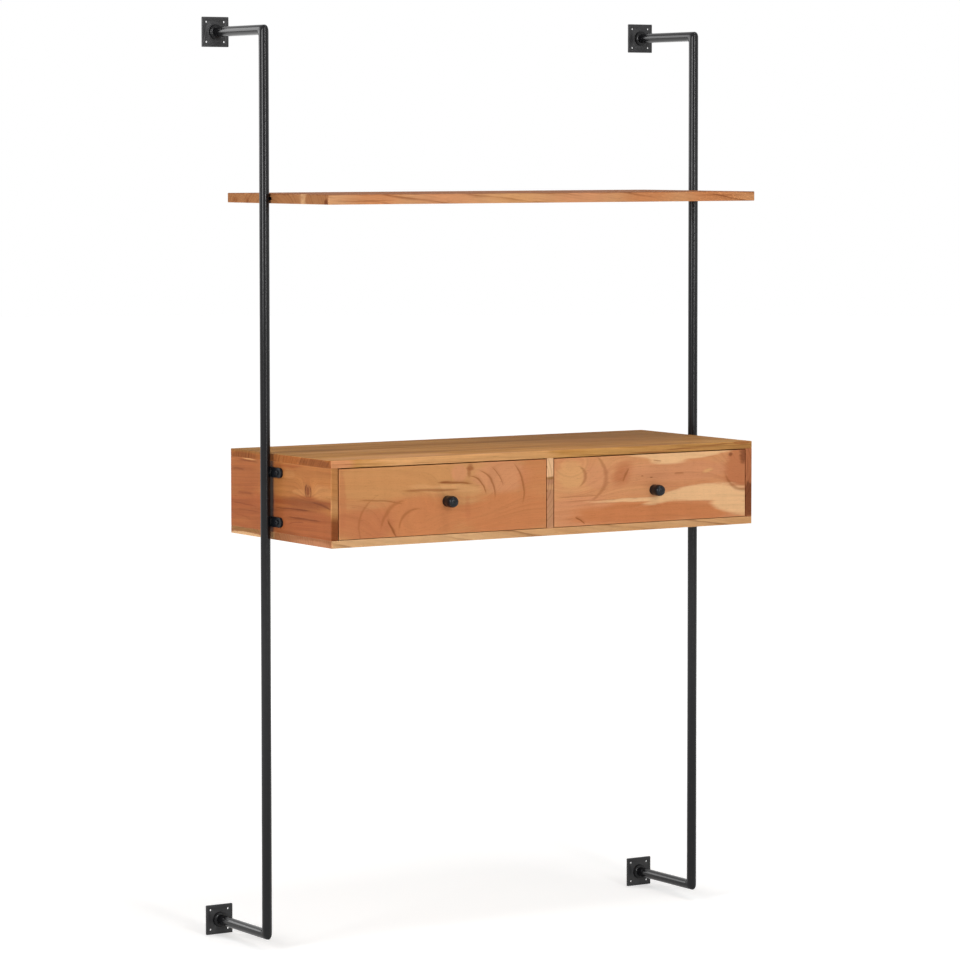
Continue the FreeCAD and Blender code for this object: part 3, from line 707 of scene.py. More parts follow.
boards = [
    {"node": "top_board", "turn": "flat", "name": "acaciaTop", "seed": 2.0,
     "light": screenColour(203, 152, 88), "deep": screenColour(172, 119, 62), "taper": 0.02, "shine": 0.05,
     "matte": 0.68, "heart": (-0.30, -0.12), "ringWidth": 0.012, "lines": 0.55, "streaks": 1.05,
     "endColour": screenColour(168, 94, 50),
     "tints": [
         spot("sap", (-0.35, -0.16), (0.14, 0.04), strength=0.7),
         spot("sap", (-0.20, -0.20), (0.20, 0.014), strength=0.9),
         spot("olive", (0.25, -0.17), (0.16, 0.02), strength=0.5),
         spot("olive", (0.36, -0.20), (0.22, 0.004), depth=0.02, strength=0.4, soft=0.6),
         *(spot("bark", (0.245 + 0.08 * step, -0.2), (0.05, 0.004), level=0.004 * step - 0.005, depth=0.0013,
                strength=0.7, soft=0.6) for step in range(3)),
         spot("brown", (0.475, -0.2), (0.022, 0.012), level=0.005, depth=0.004, strength=0.7),
         spot("olive", (-0.40, 0.05), (0.09, 0.018), strength=0.7, soft=0.5),
         spot("sap", (-0.34, 0.0), (0.12, 0.022), strength=0.5, soft=0.5),
         spot("olive", (-0.26, -0.09), (0.11, 0.012), strength=0.8, soft=0.5),
         spot("olive", (0.08, 0.07), (0.08, 0.016), strength=0.7, soft=0.5),
         spot("olive", (0.34, 0.04), (0.24, 0.20), strength=0.7, soft=0.6),
         spot("honey", (0.23, 0.01), (0.10, 0.035), strength=0.45, soft=0.7, ragged=1.4),
         spot("bark", (0.275, -0.185), (0.04, 0.007), strength=0.5, soft=0.8, ragged=1.6),
         spot("olive", (-0.05, -0.10), (0.20, 0.012), strength=0.6, soft=0.5),
         spot("olive", (-0.5, 0.13), (0.004, 0.09), level=0.006, depth=0.0035, soft=0.5, strength=0.8),
         spot("brown", (-0.5, 0.145), (0.004, 0.055), level=-0.003, depth=0.006, soft=0.4),
         spot("brown", (-0.5, -0.14), (0.004, 0.07), level=-0.001, depth=0.0075, soft=0.35),
         spot("rose", (-0.48, -0.2), (0.03, 0.003), depth=0.012, soft=0.4, strength=0.8)]},
    {"node": "bottom_board", "turn": "flat", "name": "acaciaBottom", "seed": 3.0,
     "light": screenColour(203, 162, 118), "deep": screenColour(192, 142, 94), "heart": (0.16, -0.10),
     "endColour": screenColour(154, 88, 50),
     "tints": [
         spot("olive", (-0.5, 0.14), (0.005, 0.07), level=0.004, depth=0.005, soft=0.4),
         spot("cream", (-0.5, 0.135), (0.005, 0.075), level=-0.006, depth=0.0045, soft=0.25, ragged=1.3),
         spot("sap", (-0.5, 0.03), (0.005, 0.006), soft=0.5),
         spot("rose", (-0.5, -0.13), (0.005, 0.07), level=-0.004, depth=0.006, soft=0.5, strength=0.8)]},
    {"node": "left_side_panel", "turn": "side", "name": "acaciaLeftSide", "seed": 4.0,
     "light": screenColour(176, 112, 60), "deep": screenColour(146, 76, 38), "ringWidth": 0.016,
     "heart": (-0.25, -0.05), "taper": 0.03, "lines": 0.2, "drawnColour": screenColour(92, 42, 16),
     # painted shade: the shade below gives this side panel a darker, redder copy of every wood colour, for
     # how light falls on this side
     "fineRings": 0.08, "streaks": 0.65, "shine": 0.08, "shade": (0.88, 0.80, 0.70),
     "swirls": [{"at": (-0.11, 0.02), "size": (0.030, 0.018), "lift": 0.030}],
     "tints": [
         spot("heartwood", (0.14, 0.035), (0.09, 0.034), strength=0.75, soft=0.6),
         spot("heartwood", (0.13, -0.035), (0.10, 0.045), strength=0.7),
         spot("heartwood", (-0.08, -0.045), (0.18, 0.034), strength=0.85),
         spot("honey", (-0.03, 0.03), (0.07, 0.026), strength=0.8),
         spot("honey", (-0.13, 0.055), (0.08, 0.016), strength=0.5),
         spot("sap", (-0.035, 0.05), (0.022, 0.010), strength=0.5),
         spot("sap", (-0.17, 0.02), (0.045, 0.015), soft=0.4),
         spot("sap", (-0.085, 0.015), (0.035, 0.006), strength=0.8),
         spot("brown", (-0.10, -0.005), (0.10, 0.010), soft=0.5, strength=0.8),
         spot("brown", (-0.11, 0.02), (0.007, 0.009), soft=0.5),
         spot("brown", (-0.03, -0.068), (0.05, 0.005), soft=0.6, strength=0.6),
         spot("cream", (0.125, 0.068), (0.024, 0.0015), soft=0.5),
         # painted shadow: a near-black strip down the left side panel just in front of the left upright,
         # standing in for the upright's shadow
         spot("stain", (0.036, 0.0), (0.010, 0.080), soft=0.45, ragged=0.2, strength=0.9),
         spot("sap", (-0.2, 0.02), (0.0025, 0.06), ragged=0.3),
         spot("cream", (-0.2, -0.006), (0.0025, 0.016), soft=0.9, strength=0.8),
         spot("brown", (-0.2, -0.056), (0.0025, 0.030), soft=0.6, ragged=0.3)],
     "strokes": [
         *streaks((0.165, 0.064), -0.075, 0.0, 0.0014, 0.55, sag=0.0),
         *streaks((0.195, 0.047), -0.05, -0.002, 0.002, 0.4, count=2, shift=(-0.02, -0.046)),
         *streaks((0.195, -0.022), -0.105, -0.004, 0.0012, 0.4, count=3, shift=(-0.01, -0.012)),
         *streaks((0.02, -0.022), -0.14, 0.004, 0.0013, 0.7, count=3, shift=(-0.035, -0.014), growth=0.8),
         *streaks((-0.125, 0.0), -0.075, -0.010, 0.002, 0.6),
         *arcs((-0.11, 0.02), 0.010, (-60, 80), 0.002, 1.0, tall=1.4),
         *arcs((-0.11, 0.018), 0.012, (115, 225), 0.002, 0.9, tall=1.2)]},
    {"node": "right_side_panel", "turn": "side", "name": "acaciaRightSide", "seed": 5.0,
     "light": screenColour(190, 128, 80), "deep": screenColour(168, 96, 60),
     "tints": [
         spot("heartwood", (-0.2, 0.045), (0.0025, 0.05), soft=0.3),
         spot("bark", (-0.2, -0.035), (0.0025, 0.034), soft=0.2)]},
    {"node": "centre_divider", "turn": "side", "name": "acaciaDivider", "seed": 6.0,
     "light": screenColour(196, 142, 102), "deep": screenColour(186, 130, 94), "shade": (1.05, 1.06, 1.10),
     "tints": [
         spot("cream", (-0.2, 0.052), (0.02, 0.022), soft=0.1),
         spot("olive", (-0.2, 0.03), (0.01, 0.004), soft=0.4),
         spot("sap", (-0.2, 0.012), (0.01, 0.006), soft=0.5)]},
    {"node": "shelf", "turn": "flat", "name": "acaciaShelf", "seed": 7.0, "shine": 0.04, "matte": 0.66,
     "light": screenColour(199, 147, 104), "deep": screenColour(186, 126, 80), "lines": 0.7,
     "endColour": screenColour(162, 107, 66),
     "tints": [
         # painted shade: darkens the shelf's whole top face, and the top millimetre or two of its edges, to
         # dark brown
         spot("bark", (0.0, 0.0), (3.0, 2.0), level=0.0098, depth=0.0016, soft=0.4, ragged=0.1, strength=0.7),
         spot("cream", (-0.5, -0.10), (0.006, 0.013), soft=0.5, strength=0.9),
         spot("bark", (-0.5, -0.19), (0.006, 0.007), soft=0.4, level=-0.004, depth=0.009),
         *(spot("brown", (-0.5, 0.17 - 0.05 * step), (0.006, 0.012 - 0.004 * step), soft=0.5, strength=0.8,
                level=-0.004 - 0.002 * step, depth=0.007) for step in range(2)),
         *(spot(wood, (0.16 * step - 0.4, -0.2), (0.055, 0.004), depth=0.03, strength=0.6, soft=0.7)
           for step, wood in enumerate(("russet", "rose", "sap", "rose", "russet", "russet"))),
         *(spot("brown", (0.42 * end, -0.2), (0.05, 0.004), level=0.0025 * end, depth=0.0014, strength=0.65,
                soft=0.6) for end in (-1, 1))]},
    {"node": "left_drawer_front", "turn": "front", "name": "acaciaLeftDrawer", "seed": 8.0,
     "light": screenColour(189, 135, 86), "deep": screenColour(184, 120, 74), "heart": (-0.30, -0.02),
     "ringWidth": 0.017, "taper": 0.03, "lines": 0.04, "fineRings": 0.03, "streaks": 0.22, "deepness": -0.1,
     "swirls": [{"at": (0.06, 0.005), "size": (0.085, 0.050), "lift": 0.075},
                {"at": (-0.07, -0.06), "size": (0.095, 0.050), "lift": 0.080}],
     "tints": [
         spot("honey", (-0.13, 0.04), (0.17, 0.036), strength=0.8),
         spot("rose", (0.135, 0.04), (0.065, 0.034), strength=0.7),
         spot("russet", (0.215, 0.035), (0.04, 0.05), strength=0.6),
         spot("rose", (0.035, 0.05), (0.018, 0.016), strength=0.7),
         spot("russet", (0.15, -0.035), (0.11, 0.042), strength=0.8),
         spot("russet", (-0.06, -0.035), (0.13, 0.042), strength=0.8),
         spot("heartwood", (-0.18, -0.04), (0.065, 0.036), strength=0.7),
         spot("heartwood", (-0.235, 0.0), (0.012, 0.07), strength=0.5),
         *(spot("sap", (0.03 - 0.06 * step, 0.021), (0.05, 0.008), tilt=-6, strength=0.7 - 0.2 * step)
           for step in range(2)),
         spot("brown", (0.06, 0.06), (0.008, 0.006), strength=0.85, soft=0.5, ragged=1.6),
         spot("brown", (0.057, 0.05), (0.004, 0.009), strength=0.6, soft=0.6),
         spot("brown", (0.0, 0.034), (0.012, 0.0024), strength=0.8, soft=0.5),
         spot("heartwood", (0.055, -0.022), (0.006, 0.022), strength=0.5, soft=0.6)],
     "strokes": [
         *arcs((0.045, 0.005), 0.052, (75, 0), 0.0018, 0.75, count=4, growth=1.38, closing=-14, tall=0.75),
         *streaks((-0.015, 0.034), 0.08, -0.006, 0.0022, 0.8, count=3, shift=(-0.085, -0.014), growth=1.35),
         *arcs((-0.05, -0.05), 0.056, (95, 190), 0.0032, 0.45, count=3, growth=1.65, closing=20, tall=0.62),
         *streaks((-0.13, -0.035), 0.02, -0.035, 0.0024, 0.9)]},
    {"node": "right_drawer_front", "turn": "front", "name": "acaciaRightDrawer", "seed": 9.0,
     "light": screenColour(203, 145, 97), "deep": screenColour(193, 127, 85), "heart": (-0.30, -0.02),
     "ringWidth": 0.020, "taper": 0.02, "lines": 0.04, "fineRings": 0.03, "streaks": 0.22,
     "swirls": [{"at": (-0.195, 0.035), "size": (0.080, 0.045), "lift": 0.080},
                {"at": (0.230, 0.045), "size": (0.050, 0.045), "lift": 0.060}],
     "tints": [
         spot("sap", (-0.195, 0.035), (0.036, 0.030), strength=0.8),
         spot("rose", (-0.13, 0.03), (0.035, 0.024), strength=0.6),
         spot("rose", (-0.17, -0.04), (0.09, 0.032), strength=0.8),
         spot("heartwood", (-0.07, 0.032), (0.026, 0.018), strength=0.85, soft=0.6, tilt=35),
         spot("rose", (0.07, 0.033), (0.13, 0.020), strength=0.7),
         spot("cream", (0.075, 0.064), (0.14, 0.0085), bend=0.5, widening=-0.15, soft=0.2),
         spot("cream", (0.045, 0.055), (0.045, 0.009), soft=0.3),
         spot("heartwood", (0.225, 0.03), (0.042, 0.046), strength=0.85),
         spot("russet", (-0.02, -0.048), (0.19, 0.022), soft=0.35),
         spot("russet", (0.14, -0.058), (0.05, 0.014), soft=0.4, strength=0.9),
         spot("cream", (0.125, -0.014), (0.135, 0.017), bend=-0.9, widening=0.45, soft=0.2),
         spot("cream", (0.205, -0.045), (0.055, 0.016), tilt=-12, soft=0.3),
         spot("cream", (-0.02, -0.022), (0.12, 0.0035), soft=0.4),
         spot("sap", (0.14, 0.03), (0.012, 0.0035), tilt=12, soft=0.5),
         spot("bark", (0.197, 0.06), (0.0045, 0.004), strength=0.85, soft=0.5),
         spot("bark", (0.23, 0.055), (0.009, 0.014), strength=0.9, soft=0.5, ragged=1.6),
         *(spot("bark", (0.022 * step - 0.022, 0.024 - 0.003 * step), (0.003, 0.0011), strength=0.8, soft=0.6)
           for step in range(2))],
     "strokes": [
         *arcs((-0.2, 0.03), 0.04, (50, -50), 0.0045, 0.45, count=2, growth=2.2, tall=0.7),
         *streaks((-0.055, 0.042), -0.015, -0.026, 0.0022, 0.6, sag=0.0),
         *streaks((-0.23, -0.010), 0.11, 0.0, 0.0013, 0.4, count=2, shift=(0.01, -0.009)),
         *streaks((-0.185, -0.05), 0.024, -0.015, 0.0018, 0.9),
         *arcs((0.235, 0.04), 0.055, (200, 280), 0.0035, 0.5),
         *streaks((0.005, 0.056), 0.02, -0.002, 0.0012, 0.7, count=2, shift=(0.05, -0.028), sag=0.0)]},
]
for board in boards:
    finishBoard(board)

innerBoards = {
    "back_panel": "front", "left_drawer_back": "front", "right_drawer_back": "front",
    "left_drawer_bottom": "flat", "right_drawer_bottom": "flat",
    "left_drawer_left_side": "side", "left_drawer_right_side": "side",
    "right_drawer_left_side": "side", "right_drawer_right_side": "side",
    "left_bay_outer_runner": "side", "left_bay_inner_runner": "side",
    "right_bay_outer_runner": "side", "right_bay_inner_runner": "side", "box_dowels": "flat",
}
plainWood = {
    "light": screenColour(206, 168, 122),
    "deep": screenColour(196, 150, 102),
    "lines": 0.25,
    "streaks": 0.25,
    "bump": 0.35,
}
for seed, (node, turn) in enumerate(innerBoards.items(), 20):
    finishBoard({**plainWood, "name": "plainWood." + node, "node": node, "turn": turn, "seed": float(seed)})
print("wood finished:", len(boards) + len(innerBoards), "boards")


# black steel and iron

metals = {
    "black_powder_coat": {"colour": screenColour(13, 13, 15), "rough": 0.17, "grit": 0.5, "pebble": 0.0014,
                          "bump": 0.02, "shine": 0.25},
    # the plates' coat is rougher than the black coat (a real finish), and its colour is lifted to grey as a
    # painted sheen for the light the plates reflect
    "black_flat_coat": {"colour": screenColour(49, 49, 50), "rough": 0.36, "grit": 0.5, "pebble": 0.0014,
                        "bump": 0.06, "shine": 0.24},
    "black_iron": {"colour": screenColour(15, 17, 21), "rough": 0.26, "grit": 0.9, "pebble": 0.0022,
                   "bump": 0.3, "shine": 0.22},
    "black_screw": {"colour": screenColour(16, 18, 22), "rough": 0.4, "grit": 0.3, "pebble": 0.0008,
                    "bump": 0.2, "shine": 0.16},
    "plated_screw": {"colour": screenColour(186, 187, 186), "rough": 0.3, "grit": 0.3, "pebble": 0.0008,
                     "bump": 0.15, "shine": 0.5, "metallic": 1.0},
}
coatSettings = {
    "cloud": ((14.0, 14.0, 14.0), 4.0, 0.6),
    "level": {"cloudy": 0.5},
    "rough": {"cloudy": 0.06, "pebbly": 0.02},
}


def makeCoatSkin(look):
    # the fine orange peel and the faint unevenness of a baked coat
    tree, given = openGroup(
        "coatSkin",
        {"Point": origin, "Colour": anyColour, "Roughness": 0.4, "Grit": 0.3, "Pebble Size": 0.0012},
        {"Color": anyColour, "Roughness": 0.5, "Height": 0.0})
    pebbles = addNode(tree, "ShaderNodeTexNoise", {
        "Vector": given["Point"], "Scale": calc(tree, "DIVIDE", 1.0, given["Pebble Size"]),
        "Detail": 2.0, "Roughness": 0.5}).outputs["Fac"]
    parts = {"cloudy": calc(tree, "SUBTRACT", cloud(tree, given["Point"], *look["cloud"]), 0.5),
             "pebbly": calc(tree, "SUBTRACT", pebbles, 0.5)}
    return closeGroup(tree, Color=scaled(tree, given["Colour"], addShares(tree, 1.0, parts, look["level"])),
                      Roughness=addShares(tree, given["Roughness"], parts, look["rough"]),
                      Height=times(tree, pebbles, given["Grit"]))


def makeMetal(name, look):
    material, tree, shader = newMaterial(name)
    skin = useGroup(tree, coatSkin, {
        "Point": addNode(tree, "ShaderNodeTexCoord").outputs["Object"], "Colour": look["colour"],
        "Roughness": look["rough"], "Grit": look["grit"], "Pebble Size": look["pebble"]})
    finishShader(tree, shader, skin, look)
    return material


coatSkin = makeCoatSkin(coatSettings)
metalMaterials = {name: makeMetal(name, look) for name, look in metals.items()}
for piece in nodes.values():
    for slot in piece.material_slots:
        kind = slot.material.name.split(".")[0] if slot.material else ""
        if kind in metalMaterials:
            slot.material = metalMaterials[kind]
print("metal finished")


# modelled pieces that stand for plain CAD nodes

mergeGap = 0.00001
headShare = 0.97        # a corner this near to the widest radius belongs to the head


def pieceName(node):
    first, *rest = node.split("_")
    return first + "".join(word.title() for word in rest)


def finishPiece(shape, name, body, slot, replaced, sharpAngle, finish=None):
    bmesh.ops.remove_doubles(shape, verts=shape.verts, dist=mergeGap)
    bmesh.ops.recalc_face_normals(shape, faces=shape.faces)
    for face in shape.faces:
        face.smooth = True
    mesh = bpy.data.meshes.new(name)
    shape.to_mesh(mesh)
    shape.free()
    mesh.set_sharp_from_angle(angle=math.radians(sharpAngle))
    mesh.materials.append(metalMaterials[finish or slot])
    piece = placeObject(name, mesh)
    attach(piece, body)
    if replaced:
        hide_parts(*replaced)
    return piece


def wallSide(node):
    # the middle of the node's face that looks at the wall
    low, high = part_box(node)
    return Vector(((low.x + high.x) / 2, high.y, (low.z + high.z) / 2))


def outFrom(place):
    # lays an upright shape down so that it points away from the wall
    return Matrix.Translation(place) @ Matrix.Rotation(math.radians(90), 4, "X")


def alongRun(run):
    return run.to_track_quat("Z", "Y").to_matrix().to_4x4()


def lathe(shape, profile, steps, place, reshape):
    # profile holds radii and heights; the closed outline turns once round the upright axis
    points = [shape.verts.new((radius, 0.0, height)) for radius, height in profile]
    lines = [shape.edges.new(pair) for pair in zip(points, points[1:])]
    before = set(shape.verts) - set(points)
    bmesh.ops.spin(shape, geom=points + lines, cent=(0, 0, 0), axis=(0, 0, 1), angle=math.tau,
                   steps=steps, use_merge=True, use_duplicate=False)
    made = [vert for vert in shape.verts if vert not in before]
    for vert in made:
        vert.co = reshape(vert.co)
    bmesh.ops.transform(shape, matrix=place, verts=made)


def mergedCopy(node):
    shape = bmesh.new()
    shape.from_mesh(nodes[node].data)
    bmesh.ops.remove_doubles(shape, verts=shape.verts, dist=mergeGap)
    return shape


def easedCopy(node, look):
    # the node's own shape with softened arrises
    shape = mergedCopy(node)
    bmesh.ops.dissolve_limit(shape, angle_limit=math.radians(1), verts=shape.verts, edges=shape.edges)
    arrises = [edge for edge in shape.edges
               if edge.is_manifold and edge.calc_face_angle() > math.radians(look["sharp"])]
    bmesh.ops.bevel(shape, geom=arrises, offset=look["easing"], segments=2, profile=0.5, affect="EDGES",
                    material=-1)
    return shape


def separateSolids(node):
    # for each solid in a node: its corners, the axis it is longest on and the end its widest part is at
    shape = mergedCopy(node)
    left = set(shape.verts)
    found = []
    while left:
        front = [left.pop()]
        group = []
        while front:
            vert = front.pop()
            group.append(vert.co.copy())
            fresh = {edge.other_vert(vert) for edge in vert.link_edges} & left
            left -= fresh
            front += fresh
        low, high = (Vector([choice(point[axis] for point in group) for axis in range(3)])
                     for choice in (min, max))
        middle = (low + high) / 2
        long = max(range(3), key=lambda axis: (high - low)[axis])
        across = [axis for axis in range(3) if axis != long]
        reach = [(math.hypot(*((point - middle)[axis] for axis in across)), (point - middle)[long])
                 for point in group]
        widest = max(reach)[0]
        heads = [height for radius, height in reach if radius > widest * headShare]
        corners = [tuple(round(part, 6) for part in corner) for corner in (low, high)]
        found.append((*corners, long, 1 if sum(heads) > 0 else -1))
    shape.free()
    return sorted(found)


# tube brackets: each side's upright and both arms, mitred, welded and ground round at the corners
bracket = {
    "segments": 64,
    "wall": 0.0015,
    "corner": 0.0068,       # how far back the mitre is rounded
    "innerCorner": 0.0062,  # the same inside the tube
    "cornerSteps": 6,
    "dressing": 0.00018,    # unevenness that the grinding left
    "dressingSize": 180,    # per metre
    "sharp": 50,
}


def sweepTube(shape, middle, radius, reach, corner, look):
    # middle is the axis of the upright at its middle, reach is the wall end of the arms
    start = bmesh.ops.create_circle(shape, segments=look["segments"], radius=radius,
                                    matrix=outFrom((middle.x, reach, -middle.z)))
    ring = [edge for edge in shape.edges if edge.verts[0] in start["verts"]]
    corners = []
    moves = (lambda point: (point.x, middle.y + point.z + middle.z, point.z),
             lambda point: (point.x, point.y, -point.z),
             lambda point: (point.x, reach, point.z))
    for move in moves:
        made = bmesh.ops.extrude_edge_only(shape, edges=ring)["geom"]
        ring = [item for item in made if isinstance(item, bmesh.types.BMEdge)
                and all(vert in made for vert in item.verts) and len(item.link_faces) == 1]
        for vert in {vert for edge in ring for vert in edge.verts}:
            vert.co = move(vert.co)
        if move is not moves[-1]:
            corners += ring
    bmesh.ops.bevel(shape, geom=corners, offset=corner, segments=look["cornerSteps"], profile=0.5,
                    affect="EDGES", material=-1, clamp_overlap=False)


def makeBracket(side, look):
    low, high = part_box(side + "_upright")
    radius = (high.x - low.x) / 2
    middle = Vector(((low.x + high.x) / 2, low.y + radius, high.z - radius))
    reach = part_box(side + "_upper_arm")[1].y
    shape = bmesh.new()
    sweepTube(shape, middle, radius, reach, look["corner"], look)
    for vert in shape.verts:
        if abs(abs(vert.co.z) - middle.z) < radius and abs(vert.co.y - middle.y) < radius:
            axis = Vector((middle.x, middle.y, math.copysign(middle.z, vert.co.z)))
            dent = look["dressing"] * (1 + noise.noise(vert.co * look["dressingSize"]))
            vert.co -= (vert.co - axis).normalized() * dent
    sweepTube(shape, middle, radius - look["wall"], reach, look["innerCorner"], look)
    rims = [edge for edge in shape.edges if len(edge.link_faces) == 1]
    for height in (-1, 1):
        bmesh.ops.bridge_loops(shape, edges=[edge for edge in rims if edge.verts[0].co.z * height > 0])
    finishPiece(shape, side + "Bracket", "frame", "black_powder_coat",
                [side + part for part in ("_upright", "_lower_arm", "_upper_arm")], look["sharp"])


# weld collars, where the arms stand on their plates
collar = {
    "steps": 72,
    "rim": 0.0017,          # rounding of the outer edge
    "rimBulge": 0.29,       # share of the rim that its middle is cut back by
    "bead": 0.0024,         # reach of the weld round the arm
    "beadRise": 0.0009,
    "gap": 0.0001,
    "ripples": 34,
    "rippleDepth": 0.00022,
    "rippleBase": 1.2,      # middle depth of the ripples, over rippleDepth
    "rippleDrop": 0.6,      # share of the depth that is taken off the height
    "rippleSize": 700,      # per metre
    "sharp": 50,
}


def makeCollar(side, level, look):
    node = "_".join((side, level, "collar"))
    low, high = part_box(node)
    armLow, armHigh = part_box("_".join((side, level, "arm")))
    radius = (high.x - low.x) / 2
    height = high.y - low.y
    gap, rim, bead = look["gap"], look["rim"], look["bead"]
    bore = (armHigh.x - armLow.x) / 2 - gap
    cut = rim * look["rimBulge"]
    face = height - look["beadRise"]
    profile = [(bore, 0), (radius, 0), (radius, face - rim), (radius - cut, face - cut), (radius - rim, face),
               (bore + bead, face), (bore + bead * 0.72, face + 0.0005), (bore + bead * 0.4, height - gap),
               (bore, height - gap), (bore, 0)]

    def ripple(point):
        away = math.hypot(point.x, point.y)
        if point.z < face - gap or away < bore + gap:
            return point
        wave = math.sin(look["ripples"] * math.atan2(point.y, point.x))
        depth = look["rippleDepth"] * (look["rippleBase"] + wave + noise.noise(point * look["rippleSize"]))
        across = depth / away
        return point - Vector((point.x * across, point.y * across, depth * look["rippleDrop"]))

    shape = bmesh.new()
    lathe(shape, profile, look["steps"], outFrom(wallSide(node)), ripple)
    finishPiece(shape, pieceName(node), "frame", "black_powder_coat", [node], look["sharp"])


# wall plates and ears keep their cut shape, with softened arrises
cutSteel = {
    "wall_plate": {"easing": 0.0005, "sharp": 30, "finish": "black_flat_coat"},
    "ear": {"easing": 0.0003, "sharp": 30, "finish": "black_screw"},
}
for side in sideSigns:
    makeBracket(side, bracket)
    for level in levels:
        makeCollar(side, level, collar)
    for kind, look in cutSteel.items():
        for level in levels:
            node = "_".join((side, level, kind))
            finishPiece(easedCopy(node, look), pieceName(node), "frame", "black_powder_coat", [node],
                        look["sharp"], look["finish"])
print("brackets, collars, plates and ears modelled")


# weld beads that hold the ears to the uprights
earWeld = {
    "radius": 0.0016,
    "sunk": 0.45,           # share of the radius that the bead's axis stands out by
    "offset": 0.0048,       # from the line where tube and ear touch
    "ends": 0.0012,         # from the ends of the ear
    "tip": 0.35,            # share of the radius at the first ring
    "swell": (0.04, 0.96, 0.35),    # where its ends stop thinning, and how blunt they are
    "ripple": 0.00022,
    "rippleSize": 300,      # per metre
    "waves": 44,
    "shift": (2.1, 40),     # moves the waves from bead to bead, and by height
    "steps": 26,
    "segments": 14,
    "sharp": 60,
}


def edgesBetween(verts):
    return [edge for edge in {edge for vert in verts for edge in vert.link_edges}
            if all(vert in verts for vert in edge.verts)]


def makeBead(shape, start, end, look, seed):
    run = end - start
    first, last, bluntness = look["swell"]
    ring = list(bmesh.ops.create_circle(
        shape, segments=look["segments"], radius=look["radius"] * look["tip"], cap_ends=True,
        matrix=Matrix.Translation(start) @ alongRun(run))["verts"])
    for step in range(1, look["steps"] + 1):
        share = step / look["steps"]
        grown = bmesh.ops.extrude_edge_only(shape, edges=edgesBetween(ring))["geom"]
        ring = [item for item in grown if isinstance(item, bmesh.types.BMVert)]
        centre = start + run * share
        swell = math.sin(math.pi * min(max(share, first), last)) ** bluntness
        rough = noise.noise(centre * look["rippleSize"])
        wave = look["ripple"] * (math.sin(share * look["waves"] + seed) + rough)
        old = sum((vert.co for vert in ring), Vector()) / len(ring)
        for vert in ring:
            vert.co = centre + (vert.co - old).normalized() * (look["radius"] * swell + wave)
    bmesh.ops.contextual_create(shape, geom=edgesBetween(ring))


def makeEarWelds(side, look):
    low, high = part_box(side + "_upright")
    axis = low.y + (high.x - low.x) / 2
    shape = bmesh.new()
    for level in levels:
        earLow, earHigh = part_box("_".join((side, level, "ear")))
        face = earLow.x if side == "left" else earHigh.x
        out = face + sideSigns[side] * look["radius"] * look["sunk"]
        for turn, slant in enumerate((-1, 1)):
            place = axis + slant * look["offset"]
            start = Vector((out, place, earLow.z + look["ends"]))
            end = Vector((out, place, earHigh.z - look["ends"]))
            makeBead(shape, start, end, look, turn * look["shift"][0] + earLow.z * look["shift"][1])
    finishPiece(shape, side + "EarWelds", "frame", "black_powder_coat", (), look["sharp"])


# turned iron knobs with slightly uneven, hand-finished faces
knob = {
    # radius and height over the drawer front
    "profile": [(0.0, 0.0), (0.0106, 0.0), (0.0112, 0.0006), (0.0114, 0.0026), (0.0114, 0.0050),
                (0.0113, 0.0074), (0.0113, 0.0098), (0.0115, 0.0122), (0.0118, 0.0148), (0.0120, 0.0176),
                (0.0119, 0.0208), (0.0114, 0.0242), (0.0101, 0.0274), (0.0078, 0.0295), (0.0043, 0.0307),
                (0.0, 0.0310)],
    "steps": 28,
    "seatHeight": 0.0004,   # stays plain
    "middle": 0.014,        # dents point away from this height
    "flatness": 0.6,
    "dents": 0.00045,
    "dentSize": 230,        # per metre
    "dentShift": 30,        # moves the dents from knob to knob
    "smoothing": 2,
    "sharp": 80,
}


def makeKnob(drawer, look):
    node = drawer + "_knob"
    seat = wallSide(node)

    def forge(point):
        if point.z < look["seatHeight"]:
            return point
        dent = look["dents"] * (1 + noise.noise(point * look["dentSize"] + seat * look["dentShift"])) / 2
        away = Vector((point.x, point.y, (point.z - look["middle"]) * look["flatness"]))
        return point - away.normalized() * dent

    shape = bmesh.new()
    lathe(shape, look["profile"], look["steps"], outFrom(seat), forge)
    piece = finishPiece(shape, pieceName(node), drawer, "black_iron", [node], look["sharp"])
    smoother = piece.modifiers.new("roundness", "SUBSURF")
    smoother.levels = smoother.render_levels = look["smoothing"]


for side in sideSigns:
    makeEarWelds(side, earWeld)
for side in sideSigns:
    makeKnob(side + "_drawer", knob)
print("welds and knobs modelled")


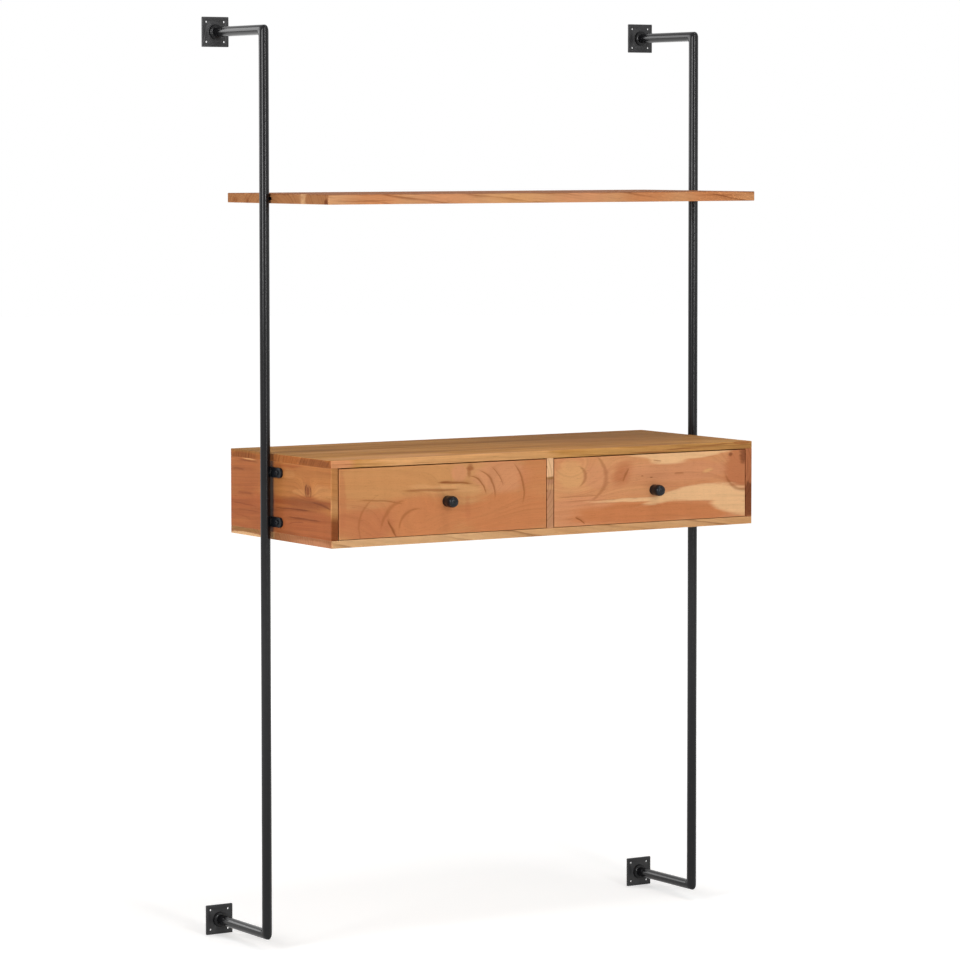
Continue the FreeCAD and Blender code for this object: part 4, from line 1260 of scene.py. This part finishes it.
# screws: the heads carry a hexagon socket or a cross recess
knobScrew = {"head": 0.0028, "shank": 0.0020, "socket": "cross", "reach": 0.0023, "depth": 0.0016,
             "crown": 0.0010, "sunk": False, "slot": "plated_screw"}
screwKinds = {
    "ear_screws": {"head": 0.0035, "shank": 0.00225, "socket": "hexagon", "reach": 0.0017, "depth": 0.0019,
                   "crown": 0.0011, "sunk": False, "slot": "black_screw"},
    "shelf_screws": {"head": 0.0030, "shank": 0.0025, "socket": "cross", "reach": 0.0025, "depth": 0.0020,
                     "crown": 0.0003, "sunk": True, "slot": "plated_screw"},
    "runner_screws": {"head": 0.0025, "shank": 0.00175, "socket": "cross", "reach": 0.0020, "depth": 0.0015,
                      "crown": 0.0002, "sunk": True, "slot": "plated_screw"},
    "left_drawer_knob_screw": knobScrew,
    "right_drawer_knob_screw": knobScrew,
}
screwSteps = 48
screwBevel = 0.0002
screwSharp = 35
crossWidth = 0.14       # half the width of a cross's arm over its reach


def socketShape(kind, reach, angle):
    if kind == "hexagon":
        return reach * math.cos(math.pi / 6) / math.cos((angle + math.pi / 6) % (math.pi / 3) - math.pi / 6)
    nearest = abs((angle + math.pi / 4) % (math.pi / 2) - math.pi / 4)
    return min(reach / math.cos(nearest), reach * crossWidth / max(math.sin(nearest), 0.001))


def makeScrew(shape, low, high, long, side, look):
    low, high = Vector(low), Vector(high)
    wide = (high - low)[(long + 1) % 3] / 2
    length = (high - low)[long]
    direction = Vector([side if axis == long else 0 for axis in range(3)])
    reach, depth, crown, shank = (look[key] for key in ("reach", "depth", "crown", "shank"))
    under = length - look["head"]
    if look["sunk"]:        # cone under a flat head
        head = [(wide, length - 0.0006), (wide, length - screwBevel),
                (wide - screwBevel, length - crown * 0.5)]
    else:
        head = [(wide - screwBevel, under), (wide, under + screwBevel), (wide, length - crown - 0.0004),
                (wide * 0.93, length - crown * 0.72), (wide * 0.75, length - crown * 0.28)]
    profile = [(0, 0), (shank * 0.35, screwBevel), (shank, 0.0030), (shank, under), *head,
               (reach + 0.0004, length - 0.00003), (reach, length - 0.0001), (reach * 0.82, length - depth),
               (0, length - depth)]

    def cutSocket(point):
        away = math.hypot(point.x, point.y)
        lowest = max(length - depth - 0.0001, under * 0.5)
        if point.z < lowest or away > reach * 1.05 or away < 0.0001:
            return point
        stretch = socketShape(look["socket"], reach, math.atan2(point.y, point.x)) / reach
        return Vector((point.x * stretch, point.y * stretch, point.z))

    start = (low + high) / 2 - direction * length / 2
    lathe(shape, profile, screwSteps, Matrix.Translation(start) @ alongRun(direction), cutSocket)


for node, look in screwKinds.items():
    shape = bmesh.new()
    for solid in separateSolids(node):
        makeScrew(shape, *solid, look)
    body = node.split("_knob")[0] if "drawer" in node else "frame"
    finishPiece(shape, pieceName(node), body, look["slot"], [node], screwSharp)
print("screws modelled")
